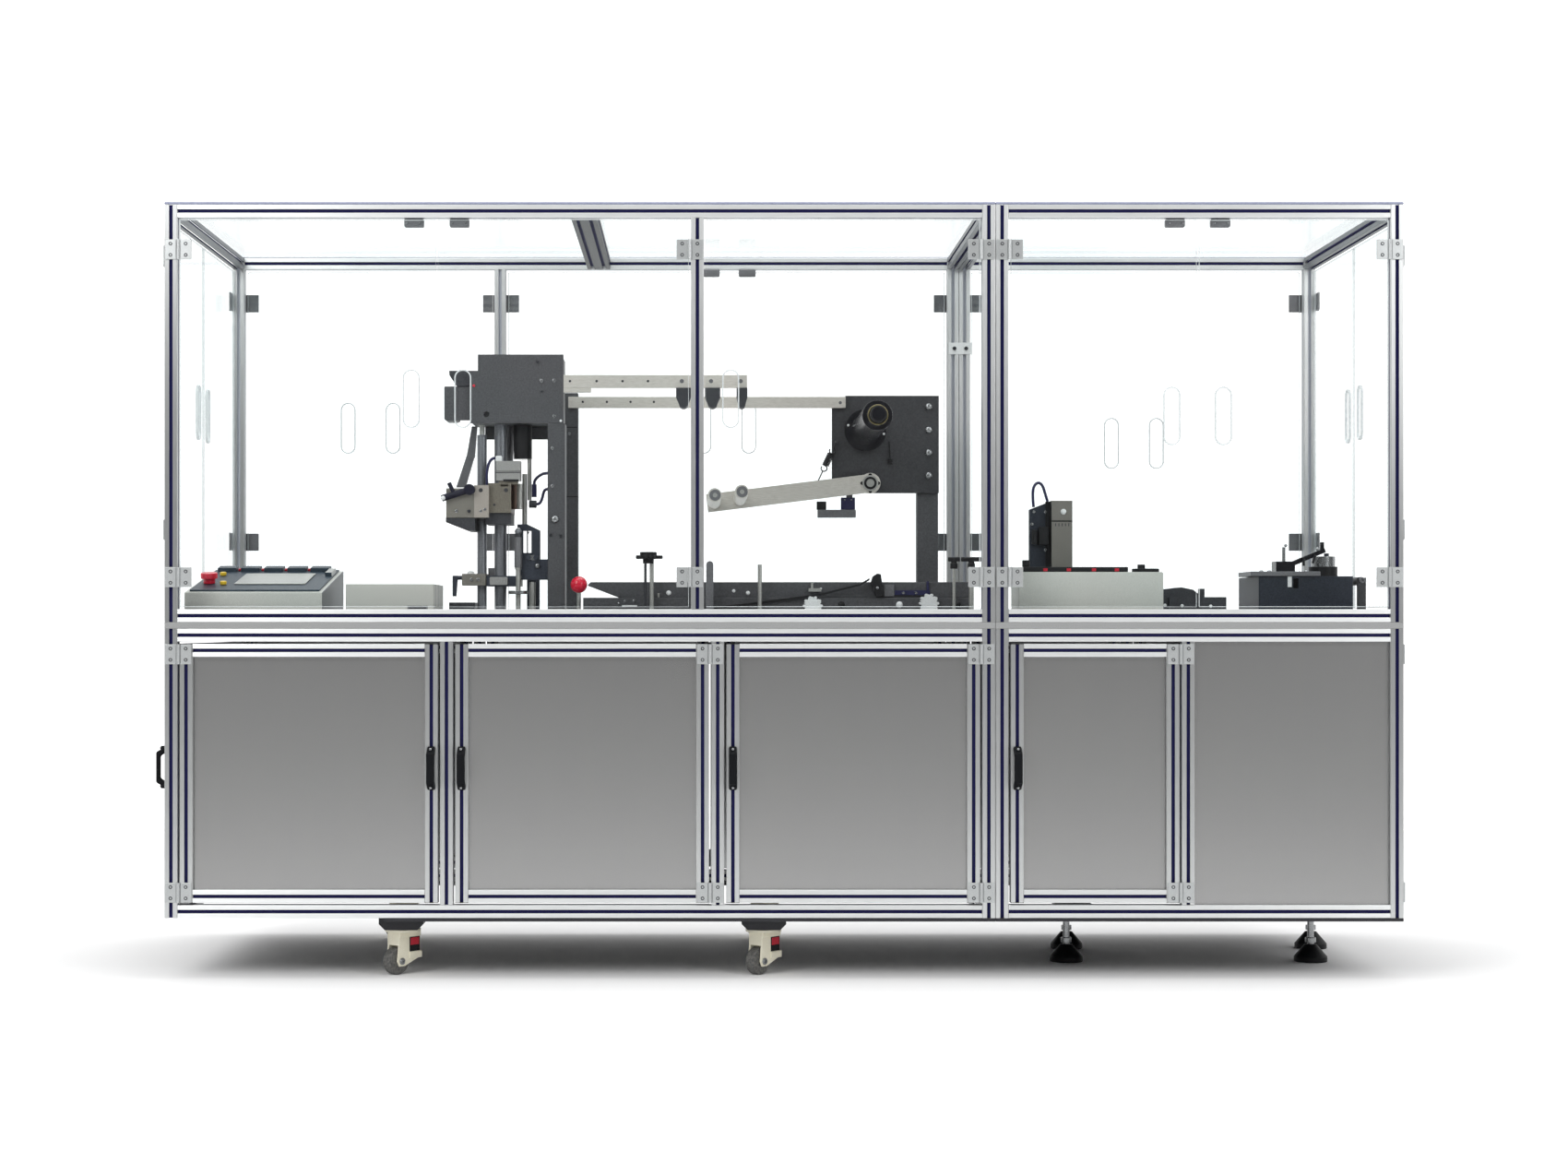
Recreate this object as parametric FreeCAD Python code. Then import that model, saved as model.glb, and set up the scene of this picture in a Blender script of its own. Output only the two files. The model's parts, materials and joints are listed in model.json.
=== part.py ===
import FreeCAD, Part
import math
import os

os.makedirs("parts", exist_ok=True)

# A film overwrapping machine: two modules of slotted aluminium bar, bolted side by side, with
# cabinet doors below the table and clear guard doors above it. Millimetres, +X to the right,
# +Y from the front to the rear, +Z up, with the origin on the floor below the middle.

# driving dimensions of the frame
width = 2860.0
depth = 900.0
bar = 30.0
slot = 8.0
slot_depth = 9.0
seam_x = 488.0
seam_gap = 0.6
frame_base = 140.0
table_base = 808.0
table_thickness = 15.0
frame_top = 1787.0
roof_thickness = 6.0
channel_height = 8.0
seat = 0.3

# centres of the posts between the corner posts
lower_posts_left = (-779.0, -153.0)
lower_post_right = 933.0
guard_post_front = -200.0
guard_post_rear = -724.0
crossbar_x = -463.0

# doors and sheets
door_gap = 5.0
sheet = 6.0
panel = 2.0
hinge_width = 61.0
hinge_height = 46.0
leaf = 4.0
knuckle_radius = 4.5
handle_length = 103.0
handle_width = 19.0
handle_reach = 28.0
handle_bar = 9.0
handle_z = 486.0
finger_width = 36.0
finger_length = 132.0

# running gear
wheel_radius = 31.5
wheel_width = 24.0
foot_radius = 40.0
foot_front_y = -131.0

half_w = width / 2
half_d = depth / 2
table_top = table_base + table_thickness

X = FreeCAD.Vector(1, 0, 0)
Y = FreeCAD.Vector(0, 1, 0)
Z = FreeCAD.Vector(0, 0, 1)


def at(x, y, z):
    return FreeCAD.Vector(x, y, z)


def save(name, shapes):
    shape = shapes[0] if len(shapes) == 1 else Part.makeCompound(shapes)
    shape.exportStep("parts/" + name + ".step")


# general shapes


def box(x, y, z):
    # each of x, y and z is a pair: low and high
    return Part.makeBox(x[1] - x[0], y[1] - y[0], z[1] - z[0], at(x[0], y[0], z[0]))


def rod(radius, start, end):
    return Part.makeCylinder(radius, (end - start).Length, start, end - start)


def ring(outer, inner, start, end):
    return rod(outer, start, end).cut(rod(inner, start, end))


def prism(points, along):
    return Part.Face(Part.makePolygon(points + points[:1])).extrude(along)


def plate_xz(outline, y):
    # a plate with an outline of X and Z points, between the two values of y
    return prism([at(x, y[0], z) for x, z in outline], at(0, y[1] - y[0], 0))


def plate_yz(outline, x):
    # a plate with an outline of Y and Z points, between the two values of x
    return prism([at(x[0], y, z) for y, z in outline], at(x[1] - x[0], 0, 0))


def about(middle, size):
    return (middle - size / 2, middle + size / 2)


def section_points():
    # the square section, with a groove in the middle of each side
    points = []
    half = bar / 2
    side = [(half, -half), (half, -slot / 2), (half - slot_depth, -slot / 2),
            (half - slot_depth, slot / 2), (half, slot / 2)]
    for quarter in range(4):
        c, s = round(math.cos(quarter * math.pi / 2)), round(math.sin(quarter * math.pi / 2))
        points += [(a * c - b * s, a * s + b * c) for a, b in side]
    return points


def slotted_bar(start, end):
    along = end - start
    u, v = (Y, Z) if along.x else (Z, X) if along.y else (X, Y)
    return prism([start + u * a + v * b for a, b in section_points()], along)


# frame modules


def module_frame(x, z, front_posts, rear_posts):
    # corner posts over the full height, rails between them, and the other posts between the rails
    left, right = x[0] + bar / 2, x[1] - bar / 2
    front, rear = bar / 2 - half_d, half_d - bar / 2
    low, high = z[0] + bar / 2, z[1] - bar / 2
    step = bar / 2 + seat
    bars = []
    for post_x in (left, right):
        for post_y in (front, rear):
            bars.append(slotted_bar(at(post_x, post_y, z[0]), at(post_x, post_y, z[1])))
        for rail_z in (low, high):
            bars.append(slotted_bar(at(post_x, front + step, rail_z), at(post_x, rear - step, rail_z)))
    for row_y, posts in ((front, front_posts), (rear, rear_posts)):
        for rail_z in (low, high):
            bars.append(slotted_bar(at(left + step, row_y, rail_z), at(right - step, row_y, rail_z)))
        for post_x in posts:
            bars.append(slotted_bar(at(post_x, row_y, low + step), at(post_x, row_y, high - step)))
    return bars


left_module = (-half_w, seam_x - seam_gap / 2)
right_module = (seam_x + seam_gap / 2, half_w)
lower_z = (frame_base, table_base)
upper_z = (table_top, frame_top)
save("lower_frame", module_frame(left_module, lower_z, lower_posts_left, lower_posts_left)
     + module_frame(right_module, lower_z, (lower_post_right,), (lower_post_right,)))
save("upper_frame", module_frame(left_module, upper_z, (guard_post_front,), (guard_post_rear,))
     + module_frame(right_module, upper_z, (), ()))

save("table_plates", [box(x, about(0, depth), (table_base, table_top)) for x in (left_module, right_module)])
save("roof_sheets", [box(x, about(0, depth), (frame_top, frame_top + roof_thickness))
                     for x in (left_module, right_module)])


def crossbar():
    # a black double bar across the roof, with two grooves in its underside
    inner = half_d - bar - seat
    body = box(about(crossbar_x, 2 * bar), (-inner, inner), (frame_top - bar, frame_top - seat))
    for groove_x in (crossbar_x - bar / 2, crossbar_x + bar / 2):
        body = body.cut(box(about(groove_x, slot), (-inner, inner), (frame_top - bar, frame_top - bar + slot_depth)))
    return body


save("crossbar", [crossbar()])

# base channels, feet and casters
channel_left = -922.0
channel_width = 60.0
channel_z = (frame_base - channel_height, frame_base - seat)


def base_channels():
    flats = []
    for middle in (channel_width / 2 - half_d, half_d - channel_width / 2):
        flats.append(box((channel_left, left_module[1]), about(middle, channel_width), channel_z))
        flats.append(box(right_module, about(middle, channel_width), channel_z))
    return flats


feet_front_x = (695.0, 1289.0)
feet_rear_x = (732.0, 1350.0)
foot_height = 42.0
foot_skirt = 12.0
foot_neck = 14.0
stud_radius = 8.0
nut_radius = 13.0
nut_height = 12.0
cross_flat = 50.0


def foot_places():
    return [(x, foot_front_y) for x in feet_front_x] + [(x, -foot_front_y) for x in feet_rear_x]


def foot_cross_members():
    # flats from front to rear that carry the feet, between the base channels
    reach = half_d - channel_width - seat
    return [box(about((a + b) / 2, cross_flat + b - a), (-reach, reach), channel_z)
            for a, b in zip(feet_front_x, feet_rear_x)]


def levelling_foot(x, y):
    base = Part.makeCylinder(foot_radius, foot_skirt, at(x, y, 0))
    cone = Part.makeCone(foot_radius, foot_neck, foot_height - foot_skirt, at(x, y, foot_skirt))
    stud = rod(stud_radius, at(x, y, foot_height), at(x, y, channel_z[0] - seat))
    nuts = [Part.makeCylinder(nut_radius, nut_height, at(x, y, z)) for z in (foot_height + 4, channel_z[0] - 20)]
    return base.fuse([cone, stud] + nuts).removeSplitter()


save("levelling_feet", [levelling_foot(x, y) for x, y in foot_places()])

casters_front_x = (-891.0, -45.0)
casters_rear_x = (-972.0, -29.0)
caster_inset = 100.0
caster_y = half_d - caster_inset
caster_trail = 22.0
caster_yaw = 50.0
hood_trail = 30.0
hood_lead = 36.0
caster_plate = 84.0
caster_plate_height = 6.0
caster_top = 105.0
bracket_width = 104.0
bracket_chamfer = 14.0
cheek = 5.0
cheek_gap = 3.0
axle_radius = 5.0


def caster_places():
    return [(x, -caster_y) for x in casters_front_x] + [(x, caster_y) for x in casters_rear_x]


def caster_bracket(x, y):
    # a chamfered block below the frame, open towards the channel beside it
    top = frame_base - seat
    half = bracket_width / 2
    outline = [(x - half, top), (x - half, caster_top + bracket_chamfer), (x - half + bracket_chamfer, caster_top),
               (x + half - bracket_chamfer, caster_top), (x + half, caster_top + bracket_chamfer), (x + half, top)]
    inner = half_d - channel_width - seat
    return plate_xz(outline, sorted((math.copysign(inner, y), y - math.copysign(half, y))))


def caster_housing(x, y):
    # the swivel plate, and below it a hood with two cheeks that hold the axle
    half = caster_plate / 2
    top = caster_top - seat
    under = top - caster_plate_height
    plate = Part.makeCylinder(half, caster_plate_height, at(x, y, under))
    inner = wheel_width / 2 + cheek_gap
    crown = 2 * wheel_radius + cheek_gap + 2
    hood = box((x - hood_trail, x + hood_lead), about(y, 2 * (inner + cheek)), (crown, under))
    axle_x = x - caster_trail
    cheeks = []
    for side in (-1, 1):
        near, far = sorted((y + side * inner, y + side * (inner + cheek)))
        outline = [(x - hood_trail, crown), (axle_x - 12, wheel_radius), (axle_x - 6, wheel_radius - 12),
                   (axle_x + 10, wheel_radius - 12), (x + hood_lead, crown - 30), (x + hood_lead, crown)]
        cheeks.append(plate_xz(outline, (near, far)))
    reach = inner + cheek
    axle = rod(axle_radius, at(axle_x, y - reach, wheel_radius), at(axle_x, y + reach, wheel_radius))
    return yawed(plate.fuse([hood, axle] + cheeks).removeSplitter(), x, y)


def caster_wheel(x, y):
    axle_x = x - caster_trail
    start, end = at(axle_x, y - wheel_width / 2, wheel_radius), at(axle_x, y + wheel_width / 2, wheel_radius)
    return yawed(ring(wheel_radius, axle_radius + 0.1, start, end), x, y)


def yawed(shape, x, y):
    shape.rotate(at(x, y, 0), Z, caster_yaw)
    return shape


for number, (x, y) in enumerate(caster_places(), 1):
    save("caster_housing_" + str(number), [caster_housing(x, y)])
    save("caster_wheel_" + str(number), [caster_wheel(x, y)])
save("base_steelwork", base_channels() + foot_cross_members() + [caster_bracket(x, y) for x, y in caster_places()])


# doors. A bay is the free width between two posts, and a side is -1 for the front and 1 for the rear.


def leaf_pair(pin_x, side, z):
    # the two leaves of a hinge with its pin at pin_x: the left leaf, then the right one with the knuckle
    face = side * half_d
    outer = face + side * leaf
    clear = knuckle_radius + seat
    leaves = []
    for sign in (-1, 1):
        ends = sorted((pin_x + sign * clear, pin_x + sign * hinge_width / 2))
        leaves.append(box(ends, sorted((face + side * seat / 2, outer)), about(z, hinge_height)))
    return leaves


def knuckle(pin_x, side, z, length):
    middle = side * (half_d + knuckle_radius + seat)
    return rod(knuckle_radius, at(pin_x, middle, z - length / 2), at(pin_x, middle, z + length / 2))


def bridge_handle(side, middle_x, z):
    # an upright bridge handle: two slanted legs and a straight grip
    face = half_d + seat
    half = handle_length / 2
    grip = face + handle_reach - handle_bar
    outline = [(face, -half), (grip + handle_bar, -half + 16), (grip + handle_bar, half - 16), (face, half),
               (face, half - 13), (grip, half - 26), (grip, 26 - half), (face, 13 - half)]
    return plate_yz([(side * y, z + across) for y, across in outline], about(middle_x, handle_width))


def framed_door(x, side):
    # a door frame of slotted bar: stiles over the full height, and rails between them
    y = side * (half_d - bar / 2)
    low, high = frame_base + bar + door_gap, table_base - bar - door_gap
    left, right = x[0] + bar / 2, x[1] - bar / 2
    bars = [slotted_bar(at(stile, y, low), at(stile, y, high)) for stile in (left, right)]
    for rail_z in (low + bar / 2, high - bar / 2):
        bars.append(slotted_bar(at(left + bar / 2 + seat, y, rail_z), at(right - bar / 2 - seat, y, rail_z)))
    return bars


def door_panel(x, side):
    # the sheet inside the door frame, seated in the grooves of its bars
    edge = bar - slot_depth + seat
    low, high = frame_base + bar + door_gap + edge, table_base - bar - door_gap - edge
    return box((x[0] + edge, x[1] - edge), about(side * (half_d - bar / 2), panel), (low, high))


def door_span(bay):
    return (bay[0] + door_gap, bay[1] - door_gap)


post_1, post_2 = lower_posts_left
cabinet_bays = [(-half_w + bar, post_1 - bar / 2), (post_1 + bar / 2, post_2 - bar / 2),
                (post_2 + bar / 2, left_module[1] - bar), (right_module[0] + bar, lower_post_right - bar / 2)]
end_bay = (lower_post_right + bar / 2, half_w - bar)
hinged_right = (False, True, True, True)
hinge_inset = 24.0
door_low, door_high = frame_base + bar + door_gap, table_base - bar - door_gap
cabinet_hinge_z = (door_low + hinge_inset, door_high - hinge_inset)

fixed_leaves = []
for number, (bay, on_right) in enumerate(zip(cabinet_bays, hinged_right), 1):
    span = door_span(bay)
    pin_x = bay[1] - door_gap / 2 if on_right else bay[0] + door_gap / 2
    handle_x = span[0] + bar / 2 if on_right else span[1] - bar / 2
    moving = []
    for z in cabinet_hinge_z:
        left_leaf, right_leaf = leaf_pair(pin_x, -1, z)
        fixed_leaves.append(right_leaf if on_right else left_leaf)
        moving.append(left_leaf if on_right else right_leaf)
        moving.append(knuckle(pin_x, -1, z, hinge_height))
    save("cabinet_door_" + str(number), framed_door(span, -1) + [door_panel(span, -1)] + moving)
    save("cabinet_handle_" + str(number), [bridge_handle(-1, handle_x, handle_z)])

groove_reach = slot_depth - seat
end_panel = box((end_bay[0] - groove_reach, end_bay[1] + groove_reach), about(bar / 2 - half_d, panel),
                (frame_base + bar - groove_reach, table_base - bar + groove_reach))

# clear guard doors above the table
guard_low, guard_high = table_top + bar + door_gap, frame_top - bar - door_gap
hinge_low, hinge_high = 69.0, 69.0
guard_hinge_z = (guard_low + hinge_low, guard_high - hinge_high)
meeting_left = (-half_w + bar + guard_post_front - bar / 2) / 2 + 6.5
meeting_right = 955.0
finger_inset = 57.0
finger_drop_left = 413.0
finger_drop_right = 453.0
finger_z_left, finger_z_right = guard_high - finger_drop_left, guard_high - finger_drop_right


def finger_slot(x, z, y):
    half = (finger_length - finger_width) / 2
    radius = finger_width / 2
    ends = [rod(radius, at(x, y[0], z + sign * half), at(x, y[1], z + sign * half)) for sign in (-1, 1)]
    return box(about(x, finger_width), y, about(z, 2 * half)).fuse(ends)


def guard_sheet(x, side, slot_x, slot_z):
    y = sorted((side * half_d, side * (half_d - sheet)))
    wide = (y[0] - 1, y[1] + 1)
    return box(x, y, (guard_low, guard_high)).cut(finger_slot(slot_x, slot_z, wide))


left_edge, right_edge = -half_w + bar, half_w - bar
guard_bays = [
    ((left_edge + door_gap, meeting_left - door_gap / 2), False, finger_z_left),
    ((meeting_left + door_gap / 2, guard_post_front - bar / 2 - door_gap), True, finger_z_left),
    ((guard_post_front + bar / 2 + door_gap, left_module[1] - bar - door_gap), True, finger_z_left),
    ((right_module[0] + bar + door_gap, meeting_right - door_gap / 2), False, finger_z_right),
    ((meeting_right + door_gap / 2, right_edge - door_gap), True, finger_z_right),
]
for number, (span, on_right, slot_z) in enumerate(guard_bays, 1):
    pin_x = span[1] + door_gap / 2 if on_right else span[0] - door_gap / 2
    slot_x = span[0] + finger_inset if on_right else span[1] - finger_inset
    moving = []
    for z in guard_hinge_z:
        left_leaf, right_leaf = leaf_pair(pin_x, -1, z)
        fixed_leaves.append(right_leaf if on_right else left_leaf)
        moving.append(left_leaf if on_right else right_leaf)
        moving.append(knuckle(pin_x, -1, z, hinge_height))
    save("guard_door_" + str(number), [guard_sheet(span, -1, slot_x, slot_z)] + moving)

# the rear and the two ends repeat the framed doors and the clear sheets, all shut
rear_doors = []
rear_panels = []
rear_handles = []
for bay, on_right in zip(cabinet_bays + [end_bay], hinged_right + (True,)):
    span = door_span(bay)
    pin_x = bay[1] - door_gap / 2 if on_right else bay[0] + door_gap / 2
    handle_x = span[0] + bar / 2 if on_right else span[1] - bar / 2
    rear_doors += framed_door(span, 1)
    rear_panels.append(door_panel(span, 1))
    rear_handles.append(bridge_handle(1, handle_x, handle_z))
    for z in cabinet_hinge_z:
        fixed_leaves += leaf_pair(pin_x, 1, z) + [knuckle(pin_x, 1, z, hinge_height)]


def turned(shapes, side):
    # shapes of a front door, turned about the upright axis onto the left (-1) or right (1) end of the frame
    angle = -90 if side < 0 else 90
    shift = at(side * (half_w - half_d), 0, 0)
    moved = []
    for shape in shapes:
        copy = shape.copy()
        copy.rotate(at(0, 0, 0), Z, angle)
        copy.translate(shift)
        moved.append(copy)
    return moved


end_span = (-half_d + bar + door_gap, half_d - bar - door_gap)
for side in (-1, 1):
    # on each end the handle is on the stile that is at the front of the left end and the rear of the right end
    handle_x = end_span[1] - bar / 2
    pin_x = end_span[0] - door_gap / 2
    rear_doors += turned(framed_door(end_span, -1), side)
    rear_panels += turned([door_panel(end_span, -1)], side)
    rear_handles += turned([bridge_handle(-1, handle_x, handle_z)], side)
    for z in cabinet_hinge_z:
        fixed_leaves += turned(leaf_pair(pin_x, -1, z) + [knuckle(pin_x, -1, z, hinge_height)], side)
save("rear_and_side_doors", rear_doors)
save("fixed_panels", [end_panel] + rear_panels)
save("rear_and_side_handles", rear_handles)

rear_meeting_left = (left_edge + guard_post_rear - bar / 2) / 2
rear_meeting_middle = -126.0
rear_hinge_low, rear_hinge_high = 179.0, 82.0
rear_guard_hinge_z = (guard_low + rear_hinge_low, guard_high - rear_hinge_high)
rear_spans = [(left_edge + door_gap, rear_meeting_left - door_gap / 2),
              (rear_meeting_left + door_gap / 2, guard_post_rear - bar / 2 - door_gap),
              (guard_post_rear + bar / 2 + door_gap, rear_meeting_middle - door_gap / 2),
              (rear_meeting_middle + door_gap / 2, left_module[1] - bar - door_gap),
              (right_module[0] + bar + door_gap, meeting_right - door_gap / 2),
              (meeting_right + door_gap / 2, right_edge - door_gap)]
rear_sheets = []
for index, span in enumerate(rear_spans):
    on_right = index % 2 == 1
    pin_x = span[1] + door_gap / 2 if on_right else span[0] - door_gap / 2
    slot_x = span[0] + finger_inset if on_right else span[1] - finger_inset
    rear_sheets.append(guard_sheet(span, 1, slot_x, finger_z_left if index < 4 else finger_z_right))
    for z in rear_guard_hinge_z:
        # the third sheet shares the leaf of its neighbour on the post between them
        fixed_leaves += leaf_pair(pin_x, 1, z)[int(index == 2):] + [knuckle(pin_x, 1, z, hinge_height)]
side_halves = ((end_span[0], -door_gap / 2), (door_gap / 2, end_span[1]))
for side in (-1, 1):
    for index, span in enumerate(side_halves):
        pin_x = span[1] + door_gap / 2 if index else span[0] - door_gap / 2
        slot_x = span[0] + finger_inset if index else span[1] - finger_inset
        rear_sheets += turned([guard_sheet(span, -1, slot_x, finger_z_left)], side)
        for z in rear_guard_hinge_z:
            fixed_leaves += turned(leaf_pair(pin_x, -1, z) + [knuckle(pin_x, -1, z, hinge_height)], side)
save("rear_and_side_guards", rear_sheets)
save("fixed_hinges", fixed_leaves)

# catches under the top rails
catch = (45.0, 22.0, 19.0)
catch_top = frame_top - bar - seat
front_catches_x = (-856.0, -751.0, 906.0, 1011.0)
rear_catches_x = (-166.0, -71.0)


def catch_block(x, y):
    return box(about(x, catch[0]), about(y, catch[1]), (catch_top - catch[2], catch_top))


catch_y = half_d - bar + catch[1] / 2 - 6
save("guard_catches", [catch_block(x, -catch_y) for x in front_catches_x]
     + [catch_block(x, catch_y) for x in rear_catches_x])

# Everything from here on stands on the table. Each group is drawn about a place of its own, with Z from the
# table top, and the places are shares of the free width inside a module.
left_inner = left_module[1] - bar - left_edge
right_inner = right_edge - bar - right_module[0]


def left_at(share):
    return left_edge + share * left_inner


def right_at(share):
    return right_module[0] + bar + share * right_inner


def standing(x, shapes):
    # shapes drawn about X = 0 with Z from the table top, moved to their place
    for shape in shapes:
        shape.translate(at(x, 0, table_top))
    return shapes


def upright(x, y, z, radius):
    return rod(radius, at(x, y, z[0]), at(x, y, z[1]))


def softened(shape, radius, along):
    # rounds the edges that run along one axis
    edges = [edge for edge in shape.Edges if abs(edge.tangentAt(edge.FirstParameter).dot(along)) > 0.999]
    return shape.makeFillet(radius, edges)


def bent(start, corner, end):
    # the two ends, the middle and the radius of the arc that rounds a corner between two runs
    run = 0.45 * min((corner - start).Length, (end - corner).Length)
    back, ahead = (start - corner).normalize(), (end - corner).normalize()
    half = back.getAngle(ahead) / 2
    radius = run * math.tan(half)
    middle = corner + (back + ahead).normalize() * (run / math.cos(half) - radius)
    return corner + back * run, middle, corner + ahead * run, radius


def hose(name, radius, y, route):
    # a tube along straight runs with an arc at each corner; the route holds X and height
    points = [at(x, y, z) for x, z in route]
    start, edges, radii = points[0], [], []
    for before, corner, after in zip(points, points[1:], points[2:]):
        first, middle, last, arc_radius = bent(before, corner, after)
        edges += [Part.LineSegment(start, first).toShape(), Part.Arc(first, middle, last).toShape()]
        start = last
        radii.append(round(arc_radius, 1))
    edges.append(Part.LineSegment(start, points[-1]).toShape())
    path = Part.Wire(edges)
    profile = Part.Wire(Part.makeCircle(radius, points[0], points[1] - points[0]))
    print(name, "length", round(path.Length, 1), "arc radii", radii)
    return path.makePipeShell([profile], True, False)


# control console with its sloped face, buttons and stop button
console_width = 324.0
console_y = (-370.0, -20.0)
console_front = 70.0
console_rear = 127.0
slope = (console_rear - console_front) / (console_y[1] - console_y[0])
face_margin = 10.0
face_height = 4.0
housing = (46.0, 38.0, 10.0)
housing_step = 57.0
stop_place = (38.0, 110.0)
key_places = ((75.0, 90.0), (47.0, 240.0))
console_outline = [(console_y[0], seat), (console_y[0], console_front), (console_y[1], console_rear),
                   (console_y[1], seat)]
face_normal = at(0, -slope, 1).normalize()


def on_face(x, along, height):
    # a point of the sloped face: its X, the distance along from the front edge, and the height over the face
    return at(x, console_y[0] + along, console_front + slope * along) + face_normal * height


def face_block(x, along, low, height):
    corners = [on_face(x[0], along[0], low), on_face(x[1], along[0], low),
               on_face(x[1], along[1], low), on_face(x[0], along[1], low)]
    return prism(corners, face_normal * height)


def face_button(place, radius, low, height):
    x, along = place
    return rod(radius, on_face(x, along, low), on_face(x, along, low + height))


def console_face():
    # a dark face plate with a low row of instrument housings along its rear edge, and a bar at its right edge
    left, right = face_margin, console_width - face_margin
    face = face_block((left, right), (12, 345), seat, face_height)
    blocks = [face_block(about(left + 34 + index * housing_step, housing[0]), (344 - housing[1], 344),
                         face_height, housing[2]) for index in range(5)]
    blocks.append(face_block((right - 18, right - 2), (228, 300), face_height, housing[2]))
    return face.fuse(blocks).removeSplitter()


deck = face_height + 2 * seat
stop_button = face_button(stop_place, 14, deck, 14).fuse(face_button(stop_place, 20, deck + 12, 14))
keys = [face_button(place, 8, deck, 9) for place in key_places]
key_panel = face_block((100, 269), (92, 260), deck, 3)
console_x = left_at(0)
save("console", standing(console_x, [plate_yz(console_outline, (0, console_width))]))
save("console_face", standing(console_x, [console_face(), key_panel]))
save("console_buttons", standing(console_x, [stop_button.removeSplitter()] + keys))

drive_size = (208.0, 220.0, 90.0)
drive_front = -330.0
drive = box((0, drive_size[0]), (drive_front, drive_front + drive_size[1]), (seat, drive_size[2]))
save("drive_box", standing(left_at(0.2), [softened(drive, 4, Z)]))

# the wrapping head, drawn about the foot of its main column
column_x = left_at(0.4625)
main_x = (-19.0, 23.0)
main_y = (-220.0, -150.0)
rear_x = (-34.0, 36.0)
rear_y = (150.0, 190.0)
head_low = 477.5
head_high = 642.0
head_y = (-220.0, -84.0)
head_left = -204.0
head_right = 19.0
head_step = (18.0, 39.0)
head_plate = 12.0
upper_beam_z = (562.0, 593.0)
lower_beam_z = (544.0, 572.0)
lower_beam_y = (134.7, 149.7)

main_column = softened(box(main_x, main_y, (seat, head_low - seat)), 3, Z)
rear_column = box(rear_x, rear_y, (seat, lower_beam_z[1] + 11))
cross_band = box((-179, main_x[0] - seat), (head_y[1] - 12, head_y[1]), (head_low - 30, head_low - seat))


def head_outline(inset):
    # the head is lower at its upper left corner; the outline is drawn in by the inset, apart from its underside
    left, right, top = head_left + inset, head_right - inset, head_high - inset
    return [(left, head_low), (right, head_low), (right, top), (left + head_step[0], top),
            (left + head_step[0], top - head_step[1]), (left, top - head_step[1])]


def head_box():
    # the front plate with a round port, the housing behind it, and a hook of two blocks on its left side
    port = at(head_left + 39, head_y[0] - 1, head_low + 21)
    front = plate_xz(head_outline(0), (head_y[0], head_y[0] + head_plate)).cut(rod(7, port, port + Y * 14))
    body = plate_xz(head_outline(3), (head_y[0] + head_plate + seat, head_y[1]))
    side = head_left + 3 - seat
    arm = plate_xz([(-257, 605), (side, 605), (side, 568), (-239, 568), (-256, 594)], (-200, -120))
    hook = softened(box((-269, -236), (-195, -125), (485, 580)), 7, Y)
    return [front, body, arm, hook.cut(box((-270, -235), (-196, -124), (568 - seat, 581)))]


# two guide rods, the push rod beside them, and the sealing head that slides on the guide rods
guide_y = -160.0
guide_x = (-181.0, -136.0)
guide_radius = (11.5, 15.0)
guide_neck = 453.0
slide_clearance = 0.08
push_place = (-90.5, -200.0)
push_levels = ((seat, 127, 6), (127, 132, 8), (132, 205, 9.5), (205, 212, 8))


def guide_columns():
    left, right = guide_x
    neck = upright(left, guide_y, (guide_neck, head_low - seat), 6.5)
    first = upright(left, guide_y, (seat, guide_neck), guide_radius[0]).fuse(neck)
    foot = Part.makeCone(10, guide_radius[1], 85, at(right, guide_y, seat))
    second = upright(right, guide_y, (85, head_low - seat), guide_radius[1]).fuse(foot)
    push = [upright(*push_place, (low, high), radius) for low, high, radius in push_levels]
    push.append(upright(*push_place, (68, 76), 24))
    push.append(Part.makeSphere(8.5, at(*push_place, 218)))
    return [first.removeSplitter(), second.removeSplitter(), push[0].fuse(push[1:]).removeSplitter()]


def bored(shape, radii):
    for x, radius in zip(guide_x, radii):
        shape = shape.cut(upright(x, guide_y, (shape.BoundBox.ZMin - 1, shape.BoundBox.ZMax + 1), radius))
    return shape


running = [radius + slide_clearance for radius in guide_radius]


def sealing_head():
    # a left block with a rounded shoe below it, a cap plate, a middle block with two tubes at its side, and a
    # two-part air cylinder on top
    left = softened(box((-259, -190), (-250, -130), (249, 320)), 4, X)
    shoe = plate_xz([(-260, 250), (-260, 239), (-209, 219), (-191, 219), (-191, 250)], (-245, -135))
    carrier = box((-192, -159), (-236, -130), (250, 320))
    cap = box((-192, -157), (-252, -235), (250, 327))
    middle = box((-160, -105), (-235, -110), (262, 322))
    crest = box((-160, -105), (-235, -180), (322, 333)).cut(box((-130, -112), (-236, -215), (325, 334)))
    base = box((-167, -106), (-225, -115), (235, 263))
    tubes = [upright(x, -200, (272, 333), radius) for x, radius in ((-98.5, 7), (-86, 6.5))]
    neck = box((-135, -90), (-228, -194), (330, 386))
    halves = [softened(box((-142, -83), (-232, -190), z), 4, Z) for z in ((339, 361.5), (362.5, 386))]
    fitting = softened(box((-143, -128), (-222, -208), (385, 399)), 3, Y)
    whole = left.fuse([shoe, carrier, cap, middle, crest, base, neck, fitting] + tubes + halves)
    return bored(whole.removeSplitter(), running)


head_hose_route = [(-143.3, 394), (-150, 394), (-157, 387.5), (-161.5, 377), (-164.6, 363), (-165.4, 348),
                   (-164.4, 334), (-164.2, 320.3)]
save("guide_columns", standing(column_x, guide_columns()))
save("sealing_head", standing(column_x, [sealing_head(), hose("head hose", 3.5, -215, head_hose_route)]))

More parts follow.
